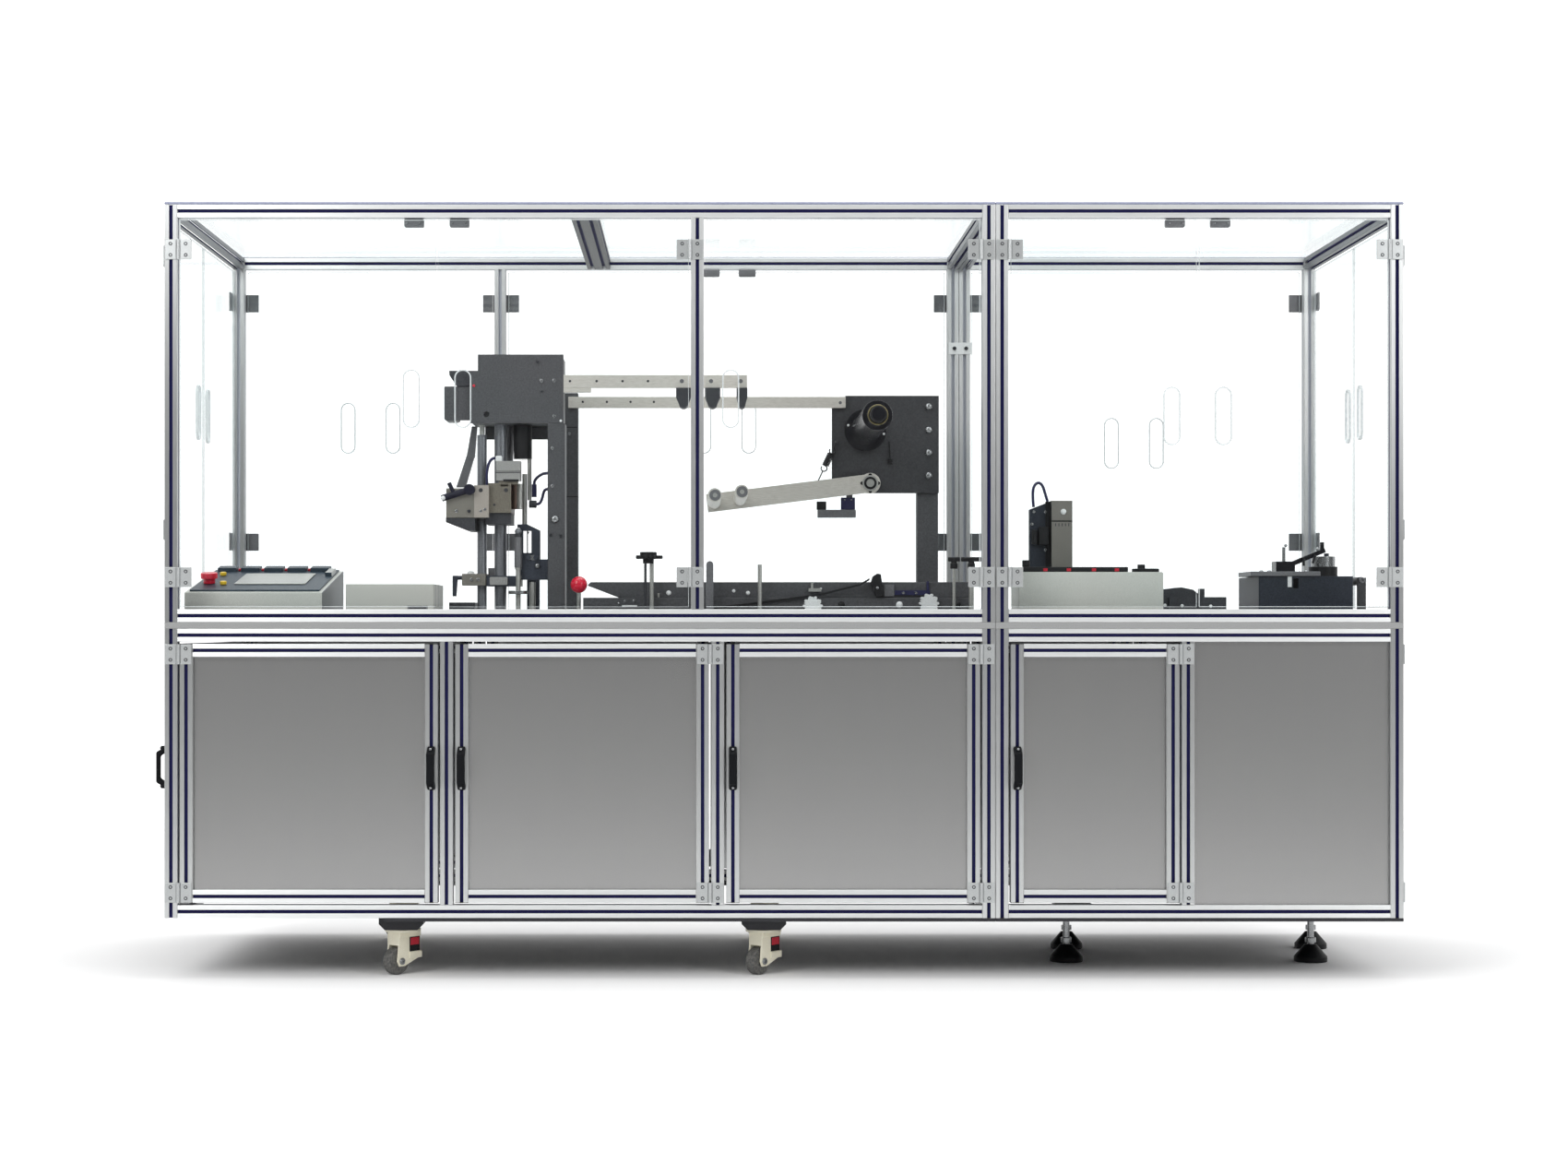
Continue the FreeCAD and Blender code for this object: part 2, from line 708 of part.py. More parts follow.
lever_y = -261.0
lever_hub = rod(13, at(-202, -270, 316), at(-202, -252 - seat, 316))
lever_arm = rod(8, at(-202, lever_y, 316), at(-268, lever_y, 295))
lever_prong = rod(5, at(-238, lever_y, 304), at(-251, lever_y, 332))
save("clamp_lever", standing(column_x, [lever_hub.fuse([lever_arm, lever_prong]).removeSplitter()]))

# the fixed linkage: a clamp on each guide rod, a slotted frame, and the posts and air fittings beside it
service_y = -160.0
post_foot = 237.0
clamp_top = 112.0
frame_foot_x = -84.0
tube_x = -66.0


def lower_clamps():
    left = bored(softened(box((-227, -168), (-195, -125), (89, 117)), 5, Z), running)
    pin = rod(5, at(-227 - seat, -160, 108), at(-252, -160, 108))
    lever = prism([at(-239, -165, 113), at(-252, -165, 113), at(-252, -165, 63), at(-243, -165, 63)], at(0, 10, 0))
    right = bored(box((-168 + seat, frame_foot_x - seat), (-190, -130), (87, clamp_top)), running)
    cover = softened(box((-159, -116), (-205, -190 - seat), (90, 109)), 3, Y)
    collar = box((-167, -152), (-150, -132), (clamp_top + seat, 132))
    return [left, pin.fuse(lever).removeSplitter(), right, cover, collar]


def slotted_frame():
    # the frame laps over the right clamp and leans in at its upper right corner; two upright slots let the rods
    # behind it show
    lap = clamp_top + seat
    outline = [(-95, lap), (-95, post_foot), (-71, post_foot), (-40, 222), (-40, 103), (frame_foot_x, 103),
               (frame_foot_x, lap)]
    frame = plate_xz(outline, (-170, -154))
    for x in ((-81, -72), (-70, -61)):
        frame = frame.cut(box(x, (-171, -153), (168, 221)))
    block = box((frame_foot_x, main_x[0] - seat), (-185, -145), (103, 152))
    knobs = [rod(6, at(x, -185, 156), at(x, -195, 156)) for x in (-67, -49)]
    leg = box((-72, -42), (-165, -145), (seat, 103))
    return frame.fuse([block, leg] + [box((-75, -41), (-186, -168), (150, 162))] + knobs).removeSplitter()


def head_drive():
    # the motor with its cone, and the air tube that hangs from it
    cone = Part.makeCone(18, 22, 60, at(-127, -120, 390)).fuse(upright(-127, -120, (450, head_low - seat), 22))
    motor = upright(-82.5, -155, (395, head_low - seat), 22)
    tube = upright(tube_x, service_y, (295 + seat, 395 - seat), 5)
    return [cone.removeSplitter(), motor, tube]


def air_fittings():
    post = upright(-77.8, service_y, (post_foot + seat, 359), 6)
    connector = upright(tube_x + 5 + seat + 6, service_y, (303, 334), 6)
    elbow = rod(9, at(-67, service_y, 286), at(-49, service_y, 286))
    return [post, connector, elbow]


def slanted_arm():
    # from below the head down to the sealing head, with a round joint half way
    outline = [(-209, head_low - seat), (-196.5, head_low - seat), (-202, 408), (-225, 329), (-247, 329), (-221, 408)]
    joint = rod(9, at(-211, -126, 407), at(-211, -102, 407))
    return plate_xz(outline, (-122, -106)).fuse(joint).removeSplitter()


upper_hose_route = [(-54.7, 334.3), (-54.7, 341), (-49.5, 349), (-41, 356), (-30.5, 361), (-19.3, 361)]
lower_hose_route = [(-48.7, 286), (-42.5, 286.5), (-37.5, 294), (-34.5, 304), (-32.3, 314), (-28, 322.5),
                    (-19.3, 322.5)]
save("sealing_linkage", standing(column_x, lower_clamps() + [slotted_frame(), slanted_arm()] + head_drive()
     + air_fittings() + [upright(-57.5, -178, (seat, 97), 7.5),
                         box((-257, -196), (-200, -110), (seat, 48)),
                         hose("upper hose", 3.5, service_y, upper_hose_route),
                         hose("lower hose", 3.5, service_y, lower_hose_route)]))

# support beams, with the tapered bearing brackets below the upper one
beam_thickness = 12.0
upper_beam_length = 440.0
bracket_places = ((307.0, 18.0), (376.5, 18.5), (447.0, 13.0))
bracket_drop = 49.0
upper_beam_y = (head_y[0], head_y[0] + beam_thickness)
beam_left = head_right + seat


def bearing_bracket(x, half):
    # straight sides that draw in to a round bottom
    top, low = upper_beam_z[0] - seat, upper_beam_z[0] - bracket_drop
    end = 0.62 * half
    y = (upper_beam_y[0] - 8, upper_beam_y[1] + 24)
    outline = [(x - half, top), (x - half, top - 22), (x - end, low + end), (x + end, low + end),
               (x + half, top - 22), (x + half, top)]
    return plate_xz(outline, y).fuse(rod(end, at(x, y[0], low + end), at(x, y[1], low + end))).removeSplitter()


# film plate, with the reel's bearing, the dancer arm's pivot pin and the spring's upper pin, drawn about the reel
reel_x = left_at(0.874)
plate_x = (-84.0, 187.5)
plate_z = (329.0, 576.0)
plate_y = (150.0, 165.0)
beam_lap = 34.0
post_x = (133.0, 187.0)
post_y = (plate_y[1] + seat, plate_y[1] + 40)
reel_z = 487.0
reel_pin_radius = 12.0
reel_flange_y = (125.0, 140.0)
pivot_x = 11.0
pivot_z = 352.0
pivot_radius = 12.0
arm_y = (115.0, 130.0)
pin_radius = 4.0
spring_top = (-72.0, 459.0)
spring_y = 138.0

lower_beam = box((column_x + 12, reel_x + plate_x[0] + beam_lap), lower_beam_y, lower_beam_z)
gusset = box((beam_left, beam_left + 66), upper_beam_y, (upper_beam_z[0] - 11, upper_beam_z[0] - seat))
save("head_box", standing(column_x, head_box()))
save("columns", standing(column_x, [main_column, rear_column, cross_band])
     + standing(reel_x, [box(post_x, post_y, (seat, plate_z[1] - 20))]))
save("support_beams", standing(column_x, [box((beam_left, beam_left + upper_beam_length), upper_beam_y, upper_beam_z),
                                          gusset]) + standing(0, [lower_beam]))
save("bearing_brackets", standing(column_x, [bearing_bracket(x, half) for x, half in bracket_places]))


def film_plate():
    outline = [(plate_x[0], plate_z[0]), (plate_x[1], plate_z[0]), (plate_x[1], plate_z[1]),
               (plate_x[0] + beam_lap, plate_z[1]), (plate_x[0] + beam_lap, lower_beam_z[1]),
               (plate_x[0], lower_beam_z[1])]
    plate = plate_xz(outline, plate_y)
    bearing = rod(45, at(0, reel_flange_y[1] + seat, reel_z), at(0, plate_y[0], reel_z))
    pivot = rod(pivot_radius, at(pivot_x, arm_y[0] - 4, pivot_z), at(pivot_x, plate_y[0], pivot_z))
    cap = rod(20, at(pivot_x, arm_y[0] - 7, pivot_z), at(pivot_x, arm_y[0] - 1, pivot_z))
    collar = rod(20, at(pivot_x, arm_y[1] + 1, pivot_z), at(pivot_x, plate_y[0], pivot_z))
    pin = rod(pin_radius, at(spring_top[0], spring_y - 6, spring_top[1]), at(spring_top[0], plate_y[0], spring_top[1]))
    whole = plate.fuse([bearing, pivot, cap, collar, pin]).removeSplitter()
    bore = reel_pin_radius + slide_clearance
    return whole.cut(rod(bore, at(0, reel_flange_y[1], reel_z), at(0, plate_y[1] + 1, reel_z)))


def reel_shaft():
    # the flange at the plate, the long mandrel, a brass ring and the knob at its front, and the pin in the bearing
    steps = ((reel_flange_y, 53), ((-330, reel_flange_y[0]), 36), ((-345, -330), 25), ((-375, -345), 17),
             ((reel_flange_y[1], plate_y[1]), reel_pin_radius))
    parts = [rod(radius, at(0, y[0], reel_z), at(0, y[1], reel_z)) for y, radius in steps]
    return parts[0].fuse(parts[1:]).removeSplitter()


save("film_plate", standing(reel_x, [film_plate()]))
save("reel_shaft", standing(reel_x, [reel_shaft()]))

# dancer arm with its two rollers, and the spring that pulls it up
arm_length = 415.0
arm_drop = 7.0
arm_half = 23.0
roller_radius = 16.5
roller_reach = 370.0
roller_back = (18.0, 83.0)
spring_radius = 7.0


def on_arm(distance, up):
    # X and Z of a point on the arm: its distance from the pivot, and its height over the middle line
    c, s = math.cos(math.radians(arm_drop)), math.sin(math.radians(arm_drop))
    return pivot_x - distance * c - up * s, pivot_z - distance * s + up * c


spring_foot = on_arm(133, 15)


def dancer_arm():
    bar_outline = [on_arm(0, arm_half), on_arm(arm_length, arm_half), on_arm(arm_length, -arm_half),
                   on_arm(0, -arm_half)]
    arm = plate_xz(bar_outline, arm_y)
    hub = rod(arm_half + 3, at(pivot_x, arm_y[0], pivot_z), at(pivot_x, arm_y[1], pivot_z))
    pin = rod(pin_radius, at(spring_foot[0], arm_y[1], spring_foot[1]), at(spring_foot[0], spring_y + 6, spring_foot[1]))
    parts = [hub, pin]
    for back in roller_back:
        x, z = on_arm(arm_length - back, 0)
        parts.append(rod(roller_radius, at(x, arm_y[0] - roller_reach, z), at(x, arm_y[0], z)))
    bore = rod(pivot_radius + slide_clearance, at(pivot_x, arm_y[0] - 1, pivot_z), at(pivot_x, arm_y[1] + 1, pivot_z))
    return arm.fuse(parts).removeSplitter().cut(bore)


def dancer_spring():
    low, high = at(spring_foot[0], spring_y, spring_foot[1]), at(spring_top[0], spring_y, spring_top[1])
    along = (high - low).normalize()
    return rod(spring_radius, low + along * (pin_radius + seat), high - along * (pin_radius + seat))


save("dancer_arm", standing(reel_x, [dancer_arm()]))
save("dancer_spring", standing(reel_x, [dancer_spring()]))

# the film sensors below the plate, on a bracket behind the arm's path
sensor_y = (arm_y[1] + 5, plate_y[0] - seat)
stem_y = sensor_y[1] - 7
bracket = box((-121, -24), sensor_y, (266, 286)).fuse(box((-48, -32), (stem_y, sensor_y[1]), (277, 347)))
eye = box((-123, -99), sensor_y, (286 + seat, 307))
reader = softened(box((-62, -26), (sensor_y[0], stem_y - seat), (286 + seat, 317)), 2, Z)
save("sensor_bracket", standing(reel_x, [bracket.removeSplitter(), eye, reader]))

# guide rails that end at the seam post, drawn leftwards from that end, and what stands on and beside them
rail_end = left_module[1] - bar - seat
rail_y = (-250.0, -230.0)
lower_rail_y = (-262.0, -225.0)
rail_foot = 59.0
blade_top = 97.0
ball_place = (-941.0, -240.0, 90.0)
ball_radius = 20.0
blade = plate_xz([(-919, 87), (-846, rail_foot), (0, rail_foot), (0, blade_top - 1), (-550, blade_top),
                  (-912, blade_top - 1), (-919, 90)], rail_y)
lower_rail = box((-930, 0), lower_rail_y, (seat, rail_foot - seat))
save("guide_rails", standing(rail_end, [blade, lower_rail]))
ball_stem = rod(5, at(ball_place[0], ball_place[1], seat), at(*ball_place))
save("ball_lever", standing(rail_end, [Part.makeSphere(ball_radius, at(*ball_place)).fuse(ball_stem).removeSplitter()]))

adjuster_y = -290.0
star_x = -774.0
pin_x = -510.0
tee_x = (-50.0, -9.0)
tee_width = (28.0, 49.0)
knob_seat = 139.0
bracket_top = 145.0
bracket_x = (-637.0, -620.0)
lobes = 5


def star_knob():
    # a hub, a disc with round lobes, and a dome
    disc = upright(0, 0, (11, 19), 24)
    ends = [upright(26 * math.cos(turn), 26 * math.sin(turn), (11, 19), 8)
            for turn in (2 * math.pi * index / lobes for index in range(lobes))]
    return upright(0, 0, (0, 11), 13).fuse([disc, upright(0, 0, (19, 27), 20)] + ends).removeSplitter()


def tee_knob(wide):
    return upright(0, 0, (0, 8), 7).fuse(rod(5.5, at(-wide / 2, 0, 10), at(wide / 2, 0, 10))).removeSplitter()


def rounded_bracket():
    middle, half = sum(bracket_x) / 2, (bracket_x[1] - bracket_x[0]) / 2
    y = about(adjuster_y, 10)
    top = bracket_top - half
    return box(bracket_x, y, (seat, top)).fuse(rod(half, at(middle, y[0], top), at(middle, y[1], top))).removeSplitter()


def placed(shape, x, y, z):
    shape.translate(at(x, y, z))
    return shape


rods = ((star_x - 7, knob_seat, 3.2), (star_x + 8, knob_seat, 5), (pin_x, knob_seat - 2, 5),
        (tee_x[0], knob_seat, 4), (tee_x[1], knob_seat, 6))
save("adjuster_rods", standing(rail_end, [upright(x, adjuster_y, (seat, top), radius) for x, top, radius in rods]
                               + [rounded_bracket()]))

# station box with its strip and knobs, drawn from its left end
station_x = right_at(0.04)
station_width = 339.5
station_y = (-350.0, -200.0)
station_top = 118.0
strip_height = 12.0
strip_y = (-330.0, -290.0)
station_knob = upright(22, -310, (0, 16), 9)
station_dome = upright(310, -275, (0, 9), 32).fuse(upright(300, -275, (9, 19), 9)).removeSplitter()
knobs = [placed(star_knob(), star_x, adjuster_y, knob_seat + seat)]
knobs += [placed(tee_knob(wide), x, adjuster_y, knob_seat + seat) for x, wide in zip(tee_x, tee_width)]
save("adjuster_knobs", standing(rail_end, knobs)
     + standing(station_x, [placed(station_knob, 0, 0, station_top + strip_height + 2 * seat),
                            placed(station_dome, 0, 0, station_top + seat)]))
station = softened(box((0, station_width), station_y, (seat, station_top)), 4, Y)
save("station_box", standing(station_x, [station, box((13, 260), strip_y, (station_top + seat,
                                                                          station_top + seat + strip_height))]))

# toothed wheels in front of the rails, the belt that rises to the cam hood, and the small posts on the blade
wheel_places = ((-384.0, 39.0), (-108.0, 45.0))
tooth_count = 16
tooth_height = 3.0


def toothed_wheel(x, z):
    front, rear, outer = lower_rail_y[0] - 20, lower_rail_y[0] - seat, 21.5
    outline = []
    for index in range(tooth_count * 4):
        turn = 2 * math.pi * index / (tooth_count * 4)
        radius = outer if index % 4 in (0, 1) else outer - tooth_height
        outline.append((x + radius * math.cos(turn), z + radius * math.sin(turn)))
    return plate_xz(outline, (front, rear))


belt_line = ((-619, 37), (-540, 45), (-454, 57), (-367, 68), (-271, 92), (-249, 105))
belt = plate_xz(list(belt_line) + [(x, z - 5) for x, z in reversed(belt_line)], (-272, lower_rail_y[0] - seat))
face_y = rail_y[0] - seat
hood = plate_xz([(-241, 109), (-230, 116), (-222, 114), (-215, 62), (-233, 62), (-246, 92)], (-276, face_y))
light_panel = box((-213, -189), (-257, face_y), (62, 90))
foot_block = box((-393, -363), (-262, face_y), (73, 81)).fuse(upright(-385, -256, (81, 94), 3))
cross_block = box((-188, -104), (-258, face_y), (65, 76)).fuse(upright(-109, -254, (76, 98), 3))
save("belt_drives", standing(rail_end, [toothed_wheel(x, z) for x, z in wheel_places]
                             + [belt, hood, light_panel, foot_block.removeSplitter(), cross_block.removeSplitter()]))

# sensor tower: a square column, and a plate with a sloped top that holds the sensor and its cable
tower_x = right_at(0.157)
tower_plate_y = (-120.0, -100.0)
cable_route = [(-38, 281), (-39.5, 296), (-40, 312), (-39, 327), (-34, 337), (-26.3, 341), (-19, 337.5),
               (-14, 328.5), (-9.5, 313), (-4, 294.3)]
tower = box((0, 51), (-150, -90), (seat, 246)).fuse([box((1, 50), (-149, -91), (246, 247)),
                                                     box((0, 51), (-150, -90), (247, 295))])
tower_plate = plate_xz([(-49, seat), (-seat, seat), (-seat, 294), (-49, 275)], tower_plate_y)
sensor_block = box((-28, -5), (-140, tower_plate_y[0] - seat), (189, 232))
sensor_barrel = upright(-37, tower_plate_y[0] - seat - 8, (190, 225), 8)
save("sensor_tower", standing(tower_x, [tower.removeSplitter(), tower_plate, sensor_block, sensor_barrel,
                                        hose("sensor cable", 3.5, sum(tower_plate_y) / 2, cable_route)]))

# feeder with its rounded hood, drawn leftwards from its right end
feeder_x = right_at(0.629)
feeder_y = (-190.0, -40.0)
feeder_low = box((-137, 0), feeder_y, (seat, 61))
feeder_end = softened(box((-153, -137), (-180, -50), (seat, 79)), 4, Y)
feeder_hood = plate_xz([(-153, 60), (-153, 79), (-104, 85), (-75, 79), (-52, 60)], (-165, -65))
feeder_lever = box((-52, -41), (-130, -100), (60, 82))
save("feeder_unit", standing(feeder_x, [feeder_low.fuse([feeder_end, feeder_hood, feeder_lever]).removeSplitter()]))

# tape unit, drawn leftwards from the right end post
tape_y = (-200.0, 40.0)
tape_top = 111.0
tape_plate = 11.0


def tape_base():
    # the base with a small window beside its light post
    base = softened(box((-251, -24), tape_y, (seat, tape_top)), 4, Z)
    return base.cut(box((-168, -156), (tape_y[0] - 1, tape_y[1] + 1), (82, 106)))


def tape_head():
    low = tape_top + seat + tape_plate + seat
    body = box((-201, -155), (-160, -110), (low, low + 25))
    bolt = upright(-177, -135, (low + 25, low + 60), 4)
    arm = plate_xz([(-165, low + 10), (-76, low + 48), (-80, low + 58), (-165, low + 22)], (-142, -128))
    end_bolt = upright(-84, -135, (low + 45, low + 72), 5)
    return body.fuse([bolt, arm, end_bolt]).removeSplitter()


hub_low = tape_top + seat
tape_hub = upright(-68.5, -80, (hub_low, hub_low + 25), 34.5).fuse([
    upright(-68.5, -80, (hub_low + 25, hub_low + 50), 29), upright(-60, -80, (hub_low + 50, hub_low + 58), 6)])
roller_stand = box((-8, 11.5), (-180, -168), (bar + seat, 108)).fuse(rod(10, at(2.5, -168, 100), at(2.5, 20, 100)))
save("tape_unit", standing(right_edge, [
    tape_base(), box((-272, -104), (-205, -60), (tape_top + seat, tape_top + seat + tape_plate)), tape_head(),
    tape_hub.removeSplitter(), roller_stand.removeSplitter()]))
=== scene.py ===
import json
import math
import bpy
from mathutils import Matrix, Vector


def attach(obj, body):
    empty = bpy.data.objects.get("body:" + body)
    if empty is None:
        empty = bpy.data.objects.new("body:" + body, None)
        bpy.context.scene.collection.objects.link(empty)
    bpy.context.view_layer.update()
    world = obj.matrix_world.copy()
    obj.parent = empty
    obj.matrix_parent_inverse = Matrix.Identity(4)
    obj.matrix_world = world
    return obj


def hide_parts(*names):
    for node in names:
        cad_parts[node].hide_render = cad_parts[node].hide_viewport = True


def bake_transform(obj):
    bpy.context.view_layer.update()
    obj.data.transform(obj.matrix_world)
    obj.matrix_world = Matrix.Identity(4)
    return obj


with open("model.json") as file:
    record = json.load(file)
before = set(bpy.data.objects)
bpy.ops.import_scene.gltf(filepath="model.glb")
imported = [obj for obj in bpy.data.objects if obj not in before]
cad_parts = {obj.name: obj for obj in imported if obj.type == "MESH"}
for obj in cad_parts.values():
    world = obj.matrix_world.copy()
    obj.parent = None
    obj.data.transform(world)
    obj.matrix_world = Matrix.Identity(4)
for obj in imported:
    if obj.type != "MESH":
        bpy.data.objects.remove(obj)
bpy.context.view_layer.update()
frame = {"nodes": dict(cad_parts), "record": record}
nodes = frame["nodes"]
record = frame["record"]
bodyOf = {node: body for body, members in record["behaviour"]["bodies"].items() for node in members}
machine = "machine"
mm = 0.001
scene = bpy.context.scene
scene.view_settings.view_transform = "Standard"


# Camera: the photo's viewpoint, 6 m in front of the machine and level with its table
camera = {"place": (-0.181, -6.45, 0.8115), "lens": 59.7, "shift": (0.05, 0.0253)}
cameraData = bpy.data.cameras.new("camera")
cameraData.lens = camera["lens"]
cameraData.sensor_width = 36
cameraData.shift_x, cameraData.shift_y = camera["shift"]
cameraObject = bpy.data.objects.new("camera", cameraData)
cameraObject.location = camera["place"]
cameraObject.rotation_euler = (math.radians(90), 0, 0)
scene.collection.objects.link(cameraObject)
scene.camera = cameraObject


# Hoses and the sensor's cable. Each leaves one fitting and goes into another; the route holds X and Z in
# metres from the foot, as the points that its smooth line follows
hoses = {
    "headAirHose": {
        "node": "sealing_head", "foot": (-0.54081, -0.215, 0.823), "length": 0.0843, "route": [
            (-0.1433, 0.394), (-0.150, 0.394), (-0.157, 0.3875), (-0.1615, 0.377), (-0.1646, 0.363),
            (-0.1654, 0.348), (-0.1644, 0.334), (-0.1642, 0.3203)]},
    "upperAirHose": {
        "node": "sealing_linkage", "foot": (-0.54081, -0.16, 0.823), "length": 0.0496, "route": [
            (-0.0547, 0.3343), (-0.0547, 0.341), (-0.0495, 0.349), (-0.041, 0.356), (-0.0305, 0.361),
            (-0.0193, 0.361)]},
    "lowerAirHose": {
        "node": "sealing_linkage", "foot": (-0.54081, -0.16, 0.823), "length": 0.0528, "route": [
            (-0.0487, 0.286), (-0.0425, 0.2865), (-0.0375, 0.294), (-0.0345, 0.304), (-0.0323, 0.314),
            (-0.028, 0.3225), (-0.0193, 0.3225)]},
    "sensorCable": {
        "node": "sensor_tower", "foot": (0.65673, -0.11, 0.823), "length": 0.1188, "route": [
            (-0.038, 0.281), (-0.0395, 0.296), (-0.04, 0.312), (-0.039, 0.327), (-0.034, 0.337),
            (-0.0263, 0.3413), (-0.019, 0.3375), (-0.014, 0.3285), (-0.0095, 0.313), (-0.004, 0.2943)]}}
hoseDiameter = 0.007


def hoseAlong(name, settings):
    curve = bpy.data.curves.new(name, "CURVE")
    curve.dimensions = "3D"
    curve.bevel_depth, curve.bevel_resolution = hoseDiameter / 2, 4
    curve.use_fill_caps = True
    spline = curve.splines.new("NURBS")
    spline.points.add(len(settings["route"]) - 1)
    x, y, z = settings["foot"]
    for point, (across, rise) in zip(spline.points, settings["route"]):
        point.co = (x + across, y, z + rise, 1)
    spline.order_u, spline.use_endpoint_u = 3, True
    spline.resolution_u = 8
    tube = bpy.data.objects.new(name, curve)
    scene.collection.objects.link(tube)
    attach(tube, bodyOf[settings["node"]])
    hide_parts(settings["node"])
    across, rise = settings["route"][0]
    return tube


hoseTubes = [hoseAlong(name, settings) for name, settings in hoses.items()]
print("hoses laid:", len(hoseTubes))


# Materials

def linear(hexColour):
    # an sRGB hex colour as linear red, green, blue and alpha
    channels = [int(hexColour[i:i + 2], 16) / 255 for i in (1, 3, 5)]
    return [c / 12.92 if c <= 0.04045 else ((c + 0.055) / 1.055) ** 2.4 for c in channels] + [1]


def addNode(tree, kind, settings=None, values=None, links=None):
    # settings are the node's own options, values fill its sockets, links join sockets to outputs
    node = tree.nodes.new("ShaderNode" + kind)
    for key, value in (settings or {}).items():
        setattr(node, key, value)
    for key, value in (values or {}).items():
        node.inputs[key].default_value = value
    for key, output in (links or {}).items():
        tree.links.new(output, node.inputs[key])
    return node


def startMaterial(name, **values):
    # a material with one Principled shader, and its object coordinates
    material = bpy.data.materials.new(name)
    material.use_nodes = True
    tree = material.node_tree
    shader = tree.nodes["Principled BSDF"]
    for key, value in values.items():
        shader.inputs[key.replace("_", " ")].default_value = value
    place = addNode(tree, "TexCoord").outputs["Object"]
    return material, tree, shader, place


def speckle(tree, place, scale, stretch=(1, 1, 1), detail=2.0):
    # noise with scale cells a metre, stretched along the axes
    mapped = addNode(tree, "Mapping", values={"Scale": stretch}, links={"Vector": place})
    return addNode(tree, "TexNoise", values={"Scale": scale, "Detail": detail},
                   links={"Vector": mapped.outputs["Vector"]}).outputs["Fac"]


def twoTone(tree, fac, low, high, colourA, colourB):
    # a colour ramp between two hex colours
    ramp = addNode(tree, "ValToRGB", links={"Fac": fac})
    ramp.color_ramp.elements[0].position, ramp.color_ramp.elements[1].position = low, high
    ramp.color_ramp.elements[0].color, ramp.color_ramp.elements[1].color = linear(colourA), linear(colourB)
    return ramp.outputs["Color"]


def roughnessSpread(tree, shader, fac, low, high):
    spread = addNode(tree, "MapRange", values={"To Min": low, "To Max": high}, links={"Value": fac})
    tree.links.new(spread.outputs["Result"], shader.inputs["Roughness"])


def grained(name, colours, roughness, grain, bump=0.0, metallic=0.0, stretch=(1, 1, 1), **values):
    # a surface with a fine grain: two close colours, a spread of roughness and a slight bump.
    # grain is the size of one cell of the pattern in millimetres
    material, tree, shader, place = startMaterial(name, Metallic=metallic, **values)
    fac = speckle(tree, place, 1 / (grain * mm), stretch)
    tree.links.new(twoTone(tree, fac, 0.35, 0.65, *colours), shader.inputs["Base Color"])
    roughnessSpread(tree, shader, fac, *roughness)
    if bump:
        relief = addNode(tree, "Bump", values={"Strength": bump, "Distance": 0.05 * mm},
                         links={"Height": fac})
        tree.links.new(relief.outputs["Normal"], shader.inputs["Normal"])
    return material


def drawn(name, colours, roughness, across):
    # drawn or ground metal: its fine lines spread a highlight across them, in the direction given
    material, tree, shader, place = startMaterial(name, Metallic=0.95, Anisotropic=0.85)
    lines = speckle(tree, place, 900, [0.02 if c == 0 else 1 for c in across])
    tree.links.new(twoTone(tree, lines, 0.3, 0.7, *colours), shader.inputs["Base Color"])
    roughnessSpread(tree, shader, lines, *roughness)
    spread = addNode(tree, "CombineXYZ", values={"X": across[0], "Y": across[1], "Z": across[2]})
    tree.links.new(spread.outputs["Vector"], shader.inputs["Tangent"])
    return material


def clear(name, tints, grain):
    # polished clear sheet: light goes straight through, and its face mirrors more the flatter it is seen
    material = bpy.data.materials.new(name)
    material.use_nodes = True
    tree = material.node_tree
    tree.nodes.clear()
    place = addNode(tree, "TexCoord").outputs["Object"]
    slant = addNode(tree, "LayerWeight", values={"Blend": 0.5}).outputs["Facing"]
    steep = addNode(tree, "Math", {"operation": "POWER"}, {1: 5.0}, {0: slant}).outputs["Value"]
    share = addNode(tree, "MapRange", values={"To Min": 0.03, "To Max": 0.4}, links={"Value": steep})
    tone = twoTone(tree, speckle(tree, place, 1 / (grain * mm)), 0.35, 0.65, *tints)
    through = addNode(tree, "BsdfTransparent", links={"Color": tone})
    mirror = addNode(tree, "BsdfGlossy", values={"Color": (1, 1, 1, 1), "Roughness": 0.02})
    mixed = addNode(tree, "MixShader", links={"Fac": share.outputs["Result"], 1: through.outputs["BSDF"],
                                              2: mirror.outputs["BSDF"]})
    output = addNode(tree, "OutputMaterial")
    tree.links.new(mixed.outputs["Shader"], output.inputs["Surface"])
    return material


